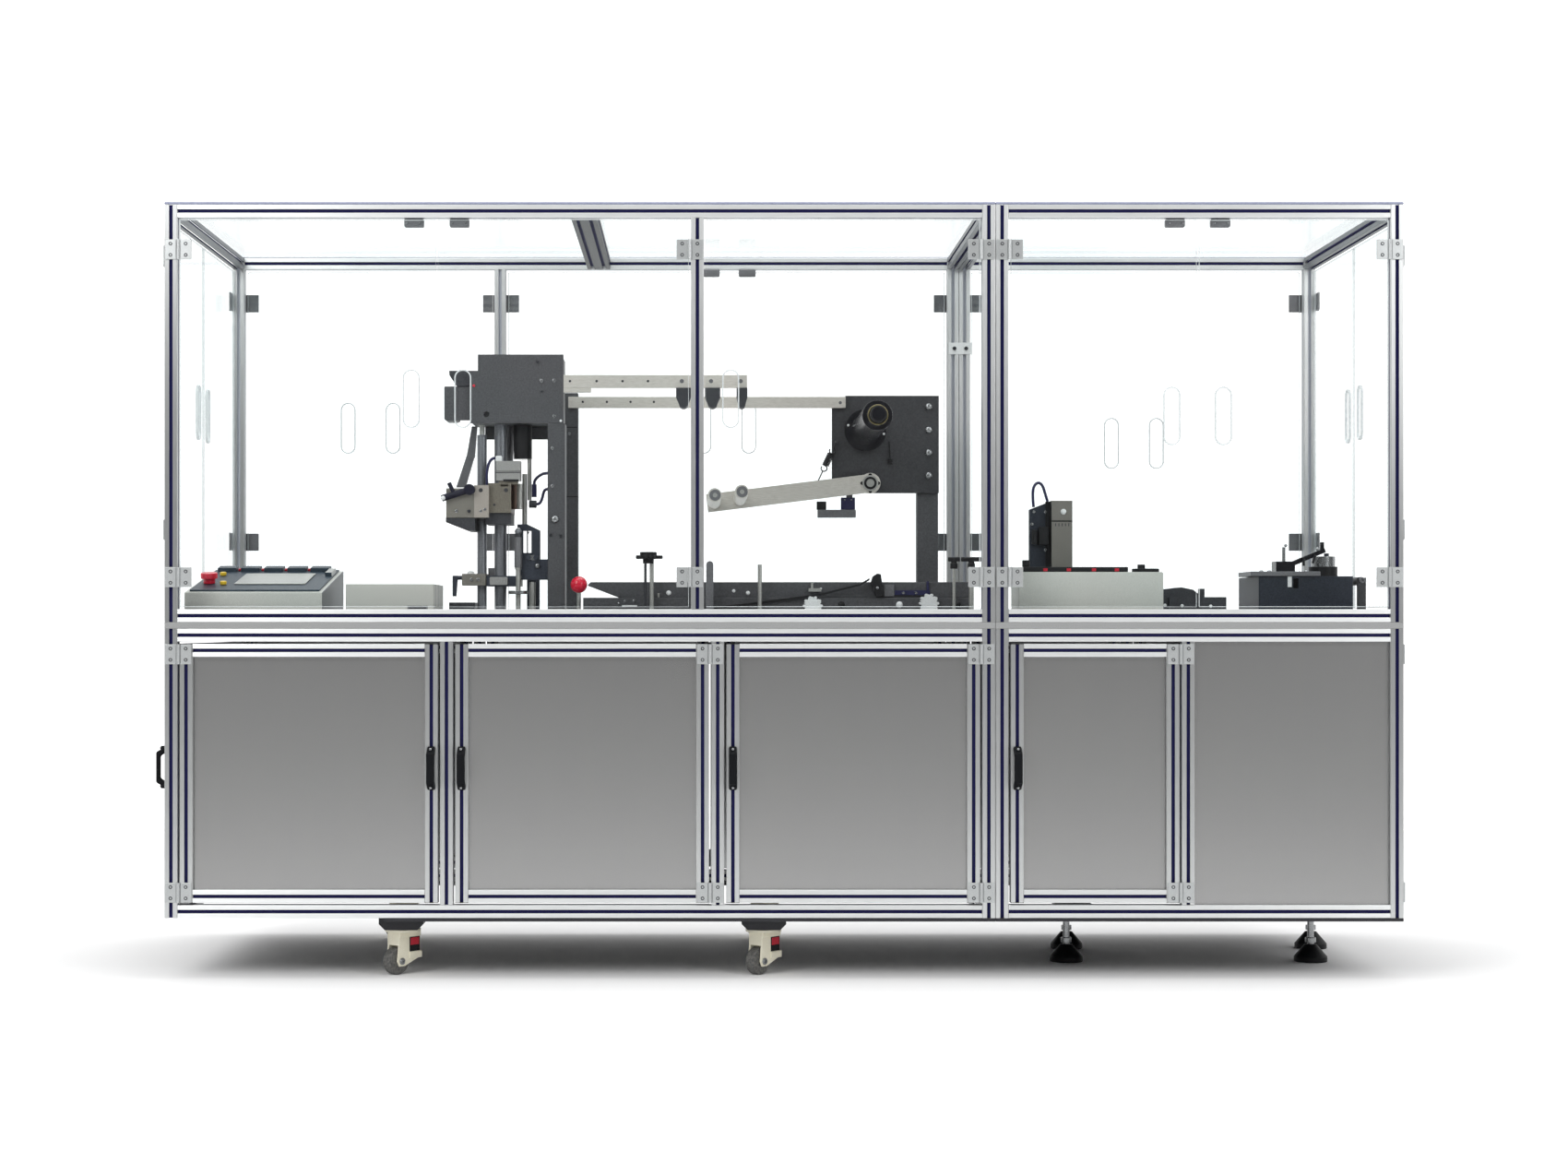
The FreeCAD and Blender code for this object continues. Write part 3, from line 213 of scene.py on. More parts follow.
looks = {
    # clear-anodised aluminium bar, satin, with the lines of the extrusion along it, in three tones of painted
    # light:
    # upright bars; bars across the machine, painted lighter; bars from front to rear, painted darker as shade
    "anodisedZ": drawn("anodisedAluminiumUpright", ("#CDCFCF", "#D8DADA"), (0.32, 0.42), (0.7, 0.7, 0)),
    "anodisedX": drawn("anodisedAluminiumAcrossPaintedLight", ("#E6E8E8", "#F0F2F2"), (0.34, 0.44), (0, 0.7, 0.7)),
    "anodisedY": drawn("anodisedAluminiumInDepthPaintedShade", ("#666B70", "#73787C"), (0.34, 0.44), (0.7, 0, 0.7)),
    # the inside of the bar's grooves: painted shadow in dark blue, and a pale painted light where light comes
    # from behind
    "groove": grained("grooveShadow", ("#080850", "#0F0F60"), (0.6, 0.8), 3),
    "litGroove": grained("grooveInBackLight", ("#C2C6CE", "#CED2D9"), (0.5, 0.7), 3, 0.0, 0.3),
    # black-anodised bar
    "blackBar": grained("blackAnodisedAluminium", ("#1B1C20", "#24252A"), (0.35, 0.45), 1.5, 0.1, 0.4),
    # cabinet panels: cold-rolled stainless sheet, ground upright, with long fine streaks
    "panel": grained("groundStainlessSheet", ("#A5A5A5", "#A7A7A6"), (0.25, 0.26), 2.5, 0.0, 0.9,
                     (1, 1, 0.01)),
    # table plate: grey stove enamel
    "tablePaint": grained("greyStoveEnamel", ("#8D8E8E", "#969797"), (0.40, 0.5), 2, 0.1),
    # clear acrylic sheet, cast and polished
    "acrylic": clear("clearCastAcrylic", ("#FBFDFD", "#FFFFFF"), 400),
    # sawn and flame-polished edges of the acrylic, pale with painted light for the light that they gather
    "acrylicEdge": grained("acrylicEdgePaintedLight", ("#D3DADC", "#E2E8E9"), (0.15, 0.25), 6, Alpha=0.6),
    # edges of the roof sheets: sawn and left matt, with a dark blue cast
    "roofEdge": grained("sawnRoofEdge", ("#8388A0", "#9095AB"), (0.4, 0.5), 6),
    # hinges: die-cast zinc, satin
    "zinc": grained("dieCastZinc", ("#B9BCBD", "#C6C9C9"), (0.32, 0.42), 1.2, 0.2, 0.75),
    # screws and bolts: bright zinc-plated steel
    "screw": grained("zincPlatedSteel", ("#8E9092", "#A9ABAC"), (0.2, 0.32), 1.0, 0.1, 0.95),
    # handles, knobs and feet: glass-filled nylon with a moulded grain
    "nylon": grained("mouldedBlackNylon", ("#0F1012", "#191A1D"), (0.42, 0.58), 0.8, 0.35,
                     Specular_IOR_Level=0.25),
    # door handles: the same nylon, a deeper black
    "gripNylon": grained("deeperBlackNylon", ("#05070A", "#0A0C11"), (0.5, 0.62), 0.8, 0.35,
                         Specular_IOR_Level=0.15),
    # caster body: ivory powder coat over cast aluminium
    "ivory": grained("ivoryPowderCoat", ("#E6E1CA", "#F0EBD8"), (0.32, 0.45), 1.2, 0.25),
    # caster tread: grey-black nylon, dusty from rolling
    "tread": grained("wornNylonTread", ("#4B4B4A", "#6A6966"), (0.55, 0.75), 5, 0.3),
    # base channels and brackets: black paint on folded steel
    "blackPaint": grained("blackPaintedSteel", ("#15151B", "#1F1F26"), (0.4, 0.55), 2, 0.15),
    # console and station housings: light grey textured powder coat
    "greyCoat": grained("lightGreyPowderCoat", ("#B7B8B2", "#C2C3BD"), (0.38, 0.5), 1.5, 0.2),
    # head box, columns and film plate: dark grey textured coat on steel plate
    "darkSteel": grained("darkGreyCoatedSteel", ("#46474A", "#505154"), (0.38, 0.52), 4, 0.2, 0.3),
    # film plate: the same coat, darker
    "plateSteel": grained("charcoalCoatedSteel", ("#333437", "#3C3D40"), (0.4, 0.52), 4, 0.15, 0.3),
    # reel mandrel and disc: black gloss lacquer
    "gloss": grained("blackGlossLacquer", ("#0D0E13", "#16171D"), (0.12, 0.22), 3, 0.05),
    # rods, covers and fittings: ground steel
    "groundSteel": grained("groundSteel", ("#A9AAA6", "#BDBEBA"), (0.25, 0.38), 2, 0.1, 0.7),
    # beams and dancer arm: ground flat bar, bright and a little warm
    "flatBar": grained("groundFlatBar", ("#CDCAC2", "#DAD7D0"), (0.28, 0.4), 2.5, 0.08, 0.5,
                       (0.15, 1, 1)),
    # guide rods: hardened steel with a blue cast
    "hardened": grained("hardenedGroundSteel", ("#74777C", "#83868B"), (0.3, 0.4), 3, 0.05, 0.6),
    # sealing head: grey-beige milled block, warm cap plate, olive middle block and light cylinder
    "milled": grained("milledGreyAluminium", ("#77756E", "#87857D"), (0.3, 0.42), 2, 0.15, 0.4),
    "capPlate": grained("milledWarmAluminium", ("#A39D95", "#B0AAA2"), (0.28, 0.4), 2, 0.15, 0.4),
    "olive": grained("hardAnodisedOlive", ("#6A665C", "#7A766B"), (0.32, 0.45), 2, 0.15, 0.4),
    "cylinder": grained("anodisedCylinder", ("#9C9D9B", "#ACADAB"), (0.28, 0.38), 2, 0.1, 0.5),
    # linkage: blued steel, grey bracket, brown varnished tube
    "blued": grained("bluedSteel", ("#353A44", "#434954"), (0.3, 0.42), 2, 0.15, 0.5),
    "bracket": grained("greyZincBracket", ("#66676A", "#747578"), (0.35, 0.48), 2, 0.15, 0.4),
    "copperTube": grained("varnishedCopper", ("#4A3A33", "#5A473E"), (0.25, 0.38), 2, 0.1, 0.5),
    # brackets, dark blocks and screws: phosphated steel, darker than the head
    "phosphated": grained("phosphatedSteel", ("#2F3135", "#3B3D42"), (0.4, 0.55), 3, 0.2, 0.3),
    # tower: bead-blasted steel with a warm grey cast
    "blasted": grained("beadBlastedSteel", ("#6A6863", "#7C7A74"), (0.45, 0.6), 1, 0.3, 0.3),
    # ball knob: polished red phenolic
    "redBall": grained("redPhenolic", ("#C81430", "#DC1C3C"), (0.12, 0.2), 8),
    # tape unit and the tower's foot: dark blue-grey enamel
    "consoleDark": grained("darkBlueGreyEnamel", ("#20252E", "#2A303A"), (0.35, 0.5), 3, 0.15,
                           Specular_IOR_Level=0.25),
    # the console's own face: teal enamel
    "consoleTeal": grained("darkTealEnamel", ("#1E2D39", "#2A3B48"), (0.35, 0.5), 3, 0.15),
    # yellow plastic of the round buttons
    "yellow": grained("yellowPushButton", ("#D8B21E", "#E6C32E"), (0.25, 0.35), 3),
    # red lamps, marks and dials
    "redMark": grained("redPlasticMark", ("#B3162A", "#C92238"), (0.25, 0.35), 2),
    # navy polyurethane air hose
    "hose": grained("navyAirHose", ("#10123A", "#1A1C4C"), (0.25, 0.4), 3),
    # clamp lever: navy-black glass-filled nylon
    "navyNylon": grained("navyBlackNylon", ("#07071A", "#0F1028"), (0.35, 0.5), 1.5, 0.2,
                         Specular_IOR_Level=0.3),
    # spring wire: oiled black steel
    "springWire": grained("oiledSpringWire", ("#202022", "#323234"), (0.3, 0.45), 1, 0.2, 0.6),
    # collar of the reel mandrel: brass
    "brass": grained("turnedBrass", ("#716A4B", "#827A57"), (0.25, 0.35), 1, 0.1, 0.9),
    # toothed wheels, belt and small caps: white acetal
    "white": grained("whiteAcetal", ("#D9DCDC", "#E7EAEA"), (0.3, 0.4), 3, 0.1),
}
print("materials made:", len(looks))


# Modelling helpers

def clearSelection():
    if bpy.context.object and bpy.context.object.mode != "OBJECT":
        bpy.ops.object.mode_set(mode="OBJECT")
    bpy.ops.object.select_all(action="DESELECT")


def activate(piece):
    clearSelection()
    piece.select_set(True)
    bpy.context.view_layer.objects.active = piece


def settle(piece):
    # the place goes into the mesh, and the object back to the origin
    activate(piece)
    bpy.ops.object.transform_apply(location=True, rotation=True, scale=True)
    return piece


def block(x, y, z):
    # each of x, y and z is a pair in millimetres: low and high
    clearSelection()
    bpy.ops.mesh.primitive_cube_add(size=1)
    piece = bpy.context.object
    piece.location = [(a + b) / 2 * mm for a, b in (x, y, z)]
    piece.scale = [(b - a) * mm for a, b in (x, y, z)]
    return settle(piece)


def rod(radius, start, end, sides=32, topRadius=None):
    # all sizes in millimetres
    start, end = Vector(start) * mm, Vector(end) * mm
    clearSelection()
    bpy.ops.mesh.primitive_cone_add(vertices=sides, radius1=radius * mm, depth=(end - start).length,
                                    radius2=(radius if topRadius is None else topRadius) * mm)
    piece = bpy.context.object
    piece.location = (start + end) / 2
    piece.rotation_euler = (end - start).to_track_quat("Z", "Y").to_euler()
    return settle(piece)


def edit(piece, mode="FACE"):
    activate(piece)
    bpy.context.tool_settings.mesh_select_mode = (mode == "VERT", mode == "EDGE", mode == "FACE")
    bpy.ops.object.mode_set(mode="EDIT")


def done():
    bpy.ops.object.mode_set(mode="OBJECT")


def pickFaces(piece, test):
    # selects the faces whose centre and normal pass the test, and opens edit mode
    for part in (piece.data.vertices, piece.data.edges):
        part.foreach_set("select", [False] * len(part))
    for face in piece.data.polygons:
        face.select = test(face.center, face.normal)
    edit(piece)


def pickEdges(piece, test):
    # selects the edges whose two ends pass the test, and opens edit mode
    points = piece.data.vertices
    for part in (piece.data.vertices, piece.data.polygons):
        part.foreach_set("select", [False] * len(part))
    for edge in piece.data.edges:
        edge.select = test(points[edge.vertices[0]].co, points[edge.vertices[1]].co)
    edit(piece, "EDGE")


def selectAll():
    bpy.ops.mesh.select_all(action="SELECT")


def cutAt(point, normal):
    # a cut through the whole mesh on a plane
    selectAll()
    bpy.ops.mesh.bisect(plane_co=point, plane_no=normal)


def modified(piece, kind, **settings):
    # a modifier with its settings, applied
    activate(piece)
    bpy.ops.object.modifier_add(type=kind)
    modifier = piece.modifiers[-1]
    for key, value in settings.items():
        setattr(modifier, key, value)
    bpy.ops.object.modifier_apply(modifier=modifier.name)


def smoothed(piece, degrees):
    activate(piece)
    bpy.ops.object.shade_smooth_by_angle(angle=math.radians(degrees))


def bevelled(piece, width, segments=2):
    # every edge sharper than 35 degrees gets a small round, and the big flat faces keep their own normals
    modified(piece, "BEVEL", width=width, segments=segments, limit_method="ANGLE",
             angle_limit=math.radians(35), use_clamp_overlap=True)
    smoothed(piece, 30)
    modified(piece, "WEIGHTED_NORMAL", keep_sharp=True)
    return piece


def twin(piece, matrix=None):
    # a copy with its own mesh, moved by the matrix
    made = piece.copy()
    made.data = piece.data.copy()
    scene.collection.objects.link(made)
    if matrix is not None:
        made.data.transform(matrix)
    return made


def joined(pieces, name=None):
    clearSelection()
    for piece in pieces:
        piece.select_set(True)
    bpy.context.view_layer.objects.active = pieces[0]
    if len(pieces) > 1:
        bpy.ops.object.join()
    whole = bpy.context.object
    if name:
        whole.name = name
    return whole


def painted(piece, look):
    piece.data.materials.clear()
    piece.data.materials.append(looks[look])
    return piece


def place(piece, name, body, node=None):
    # names a finished piece and puts it on its body, and hides the node's CAD part, which it stands in for
    piece.name = name
    settle(piece)
    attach(piece, body)
    if node:
        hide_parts(node)


def solidsOf(node):
    # the node's solids as loose, merged meshes of their own
    piece = twin(nodes[node])
    piece.parent = None
    for key in list(piece.keys()):
        del piece[key]
    piece.data.materials.clear()
    piece.hide_viewport = piece.hide_render = False
    edit(piece)
    selectAll()
    bpy.ops.mesh.remove_doubles(threshold=0.01 * mm)
    bpy.ops.mesh.dissolve_limited(angle_limit=math.radians(1))
    bpy.ops.mesh.separate(type="LOOSE")
    done()
    return list(bpy.context.selected_objects)


def boxOf(piece):
    corners = [v.co for v in piece.data.vertices]
    return (Vector([min(c[i] for c in corners) for i in range(3)]),
            Vector([max(c[i] for c in corners) for i in range(3)]))


def remove(pieces):
    for piece in pieces:
        bpy.data.objects.remove(piece)


def nearest(solids, point):
    # the solid whose middle is nearest to a point in millimetres
    return min(solids, key=lambda s: (sum(boxOf(s), Vector()) / 2 - Vector(point) * mm).length)


def tint(piece, look, *limits):
    # faces whose middle lies in a box, three pairs in millimetres, get a look of their own
    piece.data.materials.append(looks[look])
    for face in piece.data.polygons:
        if all(low * mm < c < high * mm for c, (low, high) in zip(face.center, limits)):
            face.material_index = len(piece.data.materials) - 1


def dressed(node, name, look, others=(), tints=(), extras=(), without=(), width=0.8, segments=2):
    # the node's solids with their edges eased. others are looks of single solids, by a point near their
    # middle; tints are looks of the faces in a box; extras join in; without are solids that a hose stands for
    solids = solidsOf(node)
    hosed = [nearest(solids, point) for point in without]
    special = {nearest(solids, point).name: own for own, point in others}
    pieces = [eased(s, special.get(s.name, look), width, segments) for s in solids if s not in hosed]
    remove(hosed)
    whole = joined(pieces)
    for own, *limits in tints:
        tint(whole, own, *limits)
    place(joined([whole] + list(extras)), name, bodyOf[node], node)


def remade(node, name, maker):
    # one finished piece, with each of the node's solids made again by the maker
    solids = solidsOf(node)
    place(joined([maker(s) for s in solids]), name, bodyOf[node], node)
    remove(solids)


def sortedOut(node, name, main, maker):
    # several finished pieces from one node. The maker gives a solid's parts, each with the name of its group,
    # and the main group stands for the node
    solids, groups = solidsOf(node), {}
    for solid in solids:
        leaf = hingePart(solid)
        for group, part in [("Hinges", leaf)] if leaf else maker(solid):
            groups.setdefault(group, []).append(part)
    for group, parts in groups.items():
        place(joined(parts), name + group, bodyOf[node], node if group == main else None)
    remove(solids)


def eased(piece, look, width=0.6, segments=2):
    return painted(bevelled(piece, width * mm, segments), look)


# Slotted bar: 30 mm square with an 8 mm mouth and a wider chamber behind it on every open side

def unitBar(settings):
    # one metre along Z, drawn as a flat section that is cut into cells, then drawn out
    wide, deep = settings["wide"] / 2 * mm, settings["deep"] / 2 * mm
    lip, chamber = settings["lip"] * mm, settings["chamber"] * mm
    mouth, inner = settings["mouth"] / 2 * mm, settings["inner"] / 2 * mm
    slots = [middle * mm for middle in settings["slotsX"]]
    clearSelection()
    bpy.ops.mesh.primitive_plane_add(size=1)
    piece = bpy.context.object
    piece.scale = (wide * 2, deep * 2, 1)
    settle(piece)
    walls = (-mouth, mouth, -inner, inner)
    across = {middle + d for middle in slots for d in walls}
    across |= {s * (wide - d) for s in (-1, 1) for d in (lip, lip + chamber)}
    upright = set(walls) | {s * (deep - d) for s in (-1, 1) for d in (lip, lip + chamber)}
    edit(piece)
    for cuts, normal in ((across, (1, 0, 0)), (upright, (0, 1, 0))):
        for cut in sorted(cuts):
            cutAt([cut * n for n in normal], normal)
    done()

    def hollow(centre, normal):
        # cells of the mouths and of the chambers behind them
        x, y = abs(centre.x), abs(centre.y)
        near = min(abs(centre.x - middle) for middle in slots)
        return any(d < lip and off < mouth or lip < d < lip + chamber and off < inner
                   for d, off in ((deep - y, near), (wide - x, y)))

    def onMouth(point):
        return min(abs(min(abs(point.x - middle) for middle in slots) - mouth),
                   abs(abs(point.y) - mouth)) < 0.01 * mm

    pickFaces(piece, hollow)
    bpy.ops.mesh.delete(type="FACE")
    selectAll()
    bpy.ops.mesh.extrude_region_move(TRANSFORM_OT_translate={"value": (0, 0, 1)})
    selectAll()
    bpy.ops.mesh.normals_make_consistent(inside=False)
    done()
    outerX, outerY = wide - 0.01 * mm, deep - 0.01 * mm
    pickEdges(piece, lambda a, b: abs(a.z - b.z) > 0.5 and abs(a.x) > outerX and abs(a.y) > outerY)
    bpy.ops.mesh.bevel(offset=1.6 * mm, segments=3)
    done()
    pickEdges(piece, lambda a, b: abs(a.z - b.z) > 0.5 and (abs(a.x) > outerX) != (abs(a.y) > outerY)
              and onMouth(a))
    bpy.ops.mesh.bevel(offset=0.5 * mm, segments=1)
    done()
    piece.data.materials.append(looks[settings["look"]])
    piece.data.materials.append(looks["groove"])
    inside = 0.6 * mm
    for face in piece.data.polygons:
        # everything behind the mouth's edges is in the groove material, the painted shadow
        x, y = abs(face.center.x), abs(face.center.y)
        face.material_index = int(abs(face.normal.z) < 0.5 and x < wide - inside and y < deep - inside)
        face.use_smooth = False
    smoothed(piece, 30)
    return piece


barSettings = {"wide": 30, "deep": 30, "mouth": 8, "inner": 15, "lip": 2.2, "chamber": 6.5, "slotsX": (0,),
               "look": "anodisedZ"}
unit = unitBar(barSettings)
doubleUnit = unitBar(dict(barSettings, wide=60, slotsX=(-15, 15), look="blackBar"))


def barFor(solid, source=None):
    # a copy of the unit bar laid into the box of the solid
    low, high = boxOf(solid)
    size = high - low
    along = max(range(3), key=lambda i: size[i])
    start = (low + high) / 2
    start[along] = low[along]
    turn = {0: Matrix.Rotation(math.pi / 2, 4, "Y"), 1: Matrix.Rotation(-math.pi / 2, 4, "X"),
            2: Matrix.Identity(4)}[along]
    length = Matrix.Diagonal((1, 1, size[along], 1))
    made = twin(source or unit, Matrix.Translation(start) @ turn @ length)
    # the bar's direction picks its tone of painted light: lighter across, darker as shade from front to rear
    if not source:
        made.data.materials[0] = looks["anodised" + "XYZ"[along]]
    return made


def isBar(solid):
    low, high = boxOf(solid)
    sizes = sorted(high - low)
    return abs(sizes[0] - 0.03) < 0.0002 and abs(sizes[1] - 0.03) < 0.0002 and sizes[2] > 0.1


def upperBar(solid):
    # the grooves of the rear uprights get the pale painted light, for the light that comes through the back
    bar = barFor(solid)
    low, high = boxOf(solid)
    if low.y > 0.4 and high.z - low.z > 0.3:
        bar.data.materials[1] = looks["litGroove"]
    return bar


remade("lower_frame", "lowerFrameBars", barFor)
remade("upper_frame", "upperFrameBars", upperBar)
remade("crossbar", "roofCrossbar", lambda solid: barFor(solid, doubleUnit))
print("frame bars made")


# Screw: cap head with a round socket, pointing along -Y, one metre across before scaling
def unitScrew():
    screw = rod(500, (0, 0, 0), (0, -450, 0), 24)
    pickFaces(screw, lambda c, n: n.y < -0.9)
    bpy.ops.mesh.inset(thickness=0.21)
    bpy.ops.mesh.extrude_region_move(TRANSFORM_OT_translate={"value": (0, 0.3, 0)})
    done()
    pickEdges(screw, lambda a, b: a.y < -0.44 and b.y < -0.44 and min(a.xz.length, b.xz.length) > 0.45)
    bpy.ops.mesh.bevel(offset=0.09, segments=2)
    done()
    smoothed(screw, 35)
    return painted(screw, "screw")


screwUnit = unitScrew()
facing = {"front": Matrix.Identity(4), "rear": Matrix.Rotation(math.pi, 4, "Z"),
          "left": Matrix.Rotation(-math.pi / 2, 4, "Z"), "right": Matrix.Rotation(math.pi / 2, 4, "Z"),
          "up": Matrix.Rotation(-math.pi / 2, 4, "X"), "down": Matrix.Rotation(math.pi / 2, 4, "X")}


# Dome bolt: pointing along -Y, one metre across before scaling
domeUnit = rod(500, (0, 0, 0), (0, -420, 0), 24)
pickEdges(domeUnit, lambda a, b: a.y < -0.4 and b.y < -0.4 and min(a.xz.length, b.xz.length) > 0.45)
bpy.ops.mesh.bevel(offset=0.36, segments=5)
done()
smoothed(domeUnit, 40)
painted(domeUnit, "screw")


def headAt(unit, point, radius, look="screw", thick=1.0, side="front"):
    # point in millimetres on the surface, side the way the head looks
    size = radius * 2 * mm
    return painted(twin(unit, Matrix.Translation([c * mm for c in point]) @ facing[side]
                        @ Matrix.Diagonal((size, size * thick, size, 1))), look)


# Kinds of head. A dot is a countersunk screw, or a threaded hole drawn as a flat dark disc of painted shade,
# flush with its face
headKinds = {"screw": (screwUnit, "screw", 1), "darkScrew": (screwUnit, "phosphated", 1),
             "greyScrew": (screwUnit, "bracket", 1), "dot": (screwUnit, "phosphated", 0.12),
             "whiteDot": (screwUnit, "white", 0.12), "dome": (domeUnit, "screw", 1),
             "whiteDome": (domeUnit, "white", 1), "redDome": (domeUnit, "redMark", 1),
             "blackDome": (domeUnit, "nylon", 1)}


def heads(side="front", **rows):
    # each kind of head with its rows of X, Y, Z and radius
    return [headAt(headKinds[kind][0], row[:3], row[3], *headKinds[kind][1:], side)
            for kind, places in rows.items() for row in places]


# Butt hinge: two leaves with two screws each, and a barrel cut into five knuckles
hinge = {"leafWide": 25.7, "leafThick": 3.8, "high": 46, "barrelRadius": 4.5, "screwRadius": 4.2,
         "screwRise": 13}


def hingeLeaf():
    # about the origin, its back on the plane Y = 0 and its face towards -Y
    leaf = block((-hinge["leafWide"] / 2, hinge["leafWide"] / 2), (-hinge["leafThick"], 0),
                 (-hinge["high"] / 2, hinge["high"] / 2))
    edit(leaf)
    for rise in (-hinge["screwRise"], hinge["screwRise"]):
        cutAt((0, 0, rise * mm), (0, 0, 1))
    done()
    leaf = eased(leaf, "zinc", 0.9, 3)
    screws = [headAt(screwUnit, (0, 1.2 - hinge["leafThick"], rise), hinge["screwRadius"], "phosphated", 0.6)
              for rise in (-hinge["screwRise"], hinge["screwRise"])]
    return joined([leaf] + screws)


def hingeBarrel():
    barrel = rod(hinge["barrelRadius"], (0, 0, -hinge["high"] / 2), (0, 0, hinge["high"] / 2), 24)
    knuckles = 5
    grooves = [(i / knuckles - 0.5) * hinge["high"] * mm for i in range(1, knuckles)]
    edit(barrel)
    for rise in grooves:
        for side in (-0.25 * mm, 0.25 * mm):
            cutAt((0, 0, rise + side), (0, 0, 1))
    done()
    pickFaces(barrel, lambda c, n: min(abs(c.z - g) for g in grooves) < 0.2 * mm and abs(n.z) < 0.5)
    bpy.ops.mesh.extrude_region_shrink_fatten(TRANSFORM_OT_shrink_fatten={"value": -0.6 * mm})
    done()
    return eased(barrel, "zinc", 0.4)


leafUnit, barrelUnit = hingeLeaf(), hingeBarrel()
# the hinges on the rear posts, in painted shade: their leaves darker, as they are seen against the light,
# with brighter screws
rearLeafUnitPaintedShade, rearBarrelUnitPaintedShade = twin(leafUnit), twin(barrelUnit)
rearLeafUnitPaintedShade.data.materials[0], rearLeafUnitPaintedShade.data.materials[1] = looks["bracket"], looks["screw"]
rearBarrelUnitPaintedShade.data.materials[0] = looks["bracket"]


def hingePart(solid):
    # leaves and barrels by the shape of the CAD solid, None for anything else
    low, high = boxOf(solid)
    size, middle = (high - low) / mm, (low + high) / 2
    if abs(size.z - hinge["high"]) > 0.5:
        return None
    # the rear upper hinges take the copies in painted shade
    rear = middle.y > 0.38 and middle.z > 0.85
    if abs(size.x - size.y) < 0.5:
        return twin(rearBarrelUnitPaintedShade if rear else barrelUnit, Matrix.Translation(middle))
    if abs(min(size.x, size.y) - hinge["leafThick"]) > 0.3:
        return None
    if size.y < size.x:
        side = "front" if middle.y < 0 else "rear"
        back = (middle.x, high.y if middle.y < 0 else low.y, middle.z)
    else:
        side = "left" if middle.x < 0 else "right"
        back = (high.x if middle.x < 0 else low.x, middle.y, middle.z)
    return twin(rearLeafUnitPaintedShade if rear else leafUnit, Matrix.Translation(back) @ facing[side])


remade("fixed_hinges", "fixedHingeLeaves", hingePart)
print("hinges made")


# Cabinet doors: bars with end caps, a ground panel and the moving halves of the hinges
def panelFor(solid):
    # the sheet, with its edges eased
    return eased(twin(solid), "panel", 0.4, 1)


def capFor(solid, top):
    # nylon cap on the end of an upright bar: a plate with eased corners, a little wider than the bar
    low, high = boxOf(solid)
    level = high.z if top else low.z
    x, y = (low.x / mm - 0.1, high.x / mm + 0.1), (low.y / mm - 0.1, high.y / mm + 0.1)
    below, above = (1.5, 0.1) if top else (0.1, 1.5)
    return eased(block(x, y, (level / mm - below, level / mm + above)), "nylon", 0.6)


def doorParts(solid):
    if not isBar(solid):
        return [("Panel", panelFor(solid))]
    low, high = boxOf(solid)
    upright = high.z - low.z > 0.1
    return [("Bars", barFor(solid))] + [("Caps", capFor(solid, top)) for top in (True, False) if upright]


for number in range(1, 5):
    sortedOut("cabinet_door_%d" % number, "cabinetDoor%d" % number, "Bars", doorParts)
sortedOut("rear_and_side_doors", "rearDoors", "Bars", doorParts)
remade("fixed_panels", "fixedPanels", panelFor)


# Bridge handles: moulded nylon, with a screw on a round boss at each foot
handle = {"screwIn": 7, "bossRadius": 5.2, "bossHigh": 17.5, "screwRadius": 3.4, "reach": 28}


def handleFor(solid):
    low, high = boxOf(solid)
    middle = (low + high) / 2 / mm
    if high.y - low.y > high.x - low.x:
        out, side = Vector((0, math.copysign(1, middle.y), 0)), "front" if middle.y < 0 else "rear"
    else:
        out, side = Vector((math.copysign(1, middle.x), 0, 0)), "left" if middle.x < 0 else "right"
    parts = [eased(twin(solid), "gripNylon", 3.5, 4)]
    for z in (low.z / mm + handle["screwIn"], high.z / mm - handle["screwIn"]):
        foot = Vector((middle.x, middle.y, z)) - out * handle["reach"] / 2
        top = foot + out * handle["bossHigh"]
        parts.append(painted(rod(handle["bossRadius"], foot + out, top), "gripNylon"))
        parts.append(headAt(domeUnit, top, handle["screwRadius"], side=side))
    return joined(parts)


for number in range(1, 5):
    remade("cabinet_handle_%d" % number, "cabinetHandle%dGrip" % number, handleFor)
remade("rear_and_side_handles", "rearHandleGrips", handleFor)
print("cabinet doors made")


# Table plates and base steel
dressed("table_plates", "tablePlatesPainted", "tablePaint", width=1)
dressed("base_steelwork", "baseSteelPainted", "blackPaint", width=1)


# Clear sheets: the two big faces clear, the edges brighter with painted light, and a pale trim of painted
# light in each finger slot
def clearSheet(solid, edgeLook="acrylicEdge"):
    piece = eased(twin(solid), "acrylic", 1.5, 1)
    piece.data.materials.append(looks[edgeLook])
    low, high = boxOf(piece)
    size = high - low
    thin = min(range(3), key=lambda i: size[i])
    # the edges get the pale painted light
    for face in piece.data.polygons:
        face.material_index = int(abs(face.normal[thin]) < 0.9)
    return piece


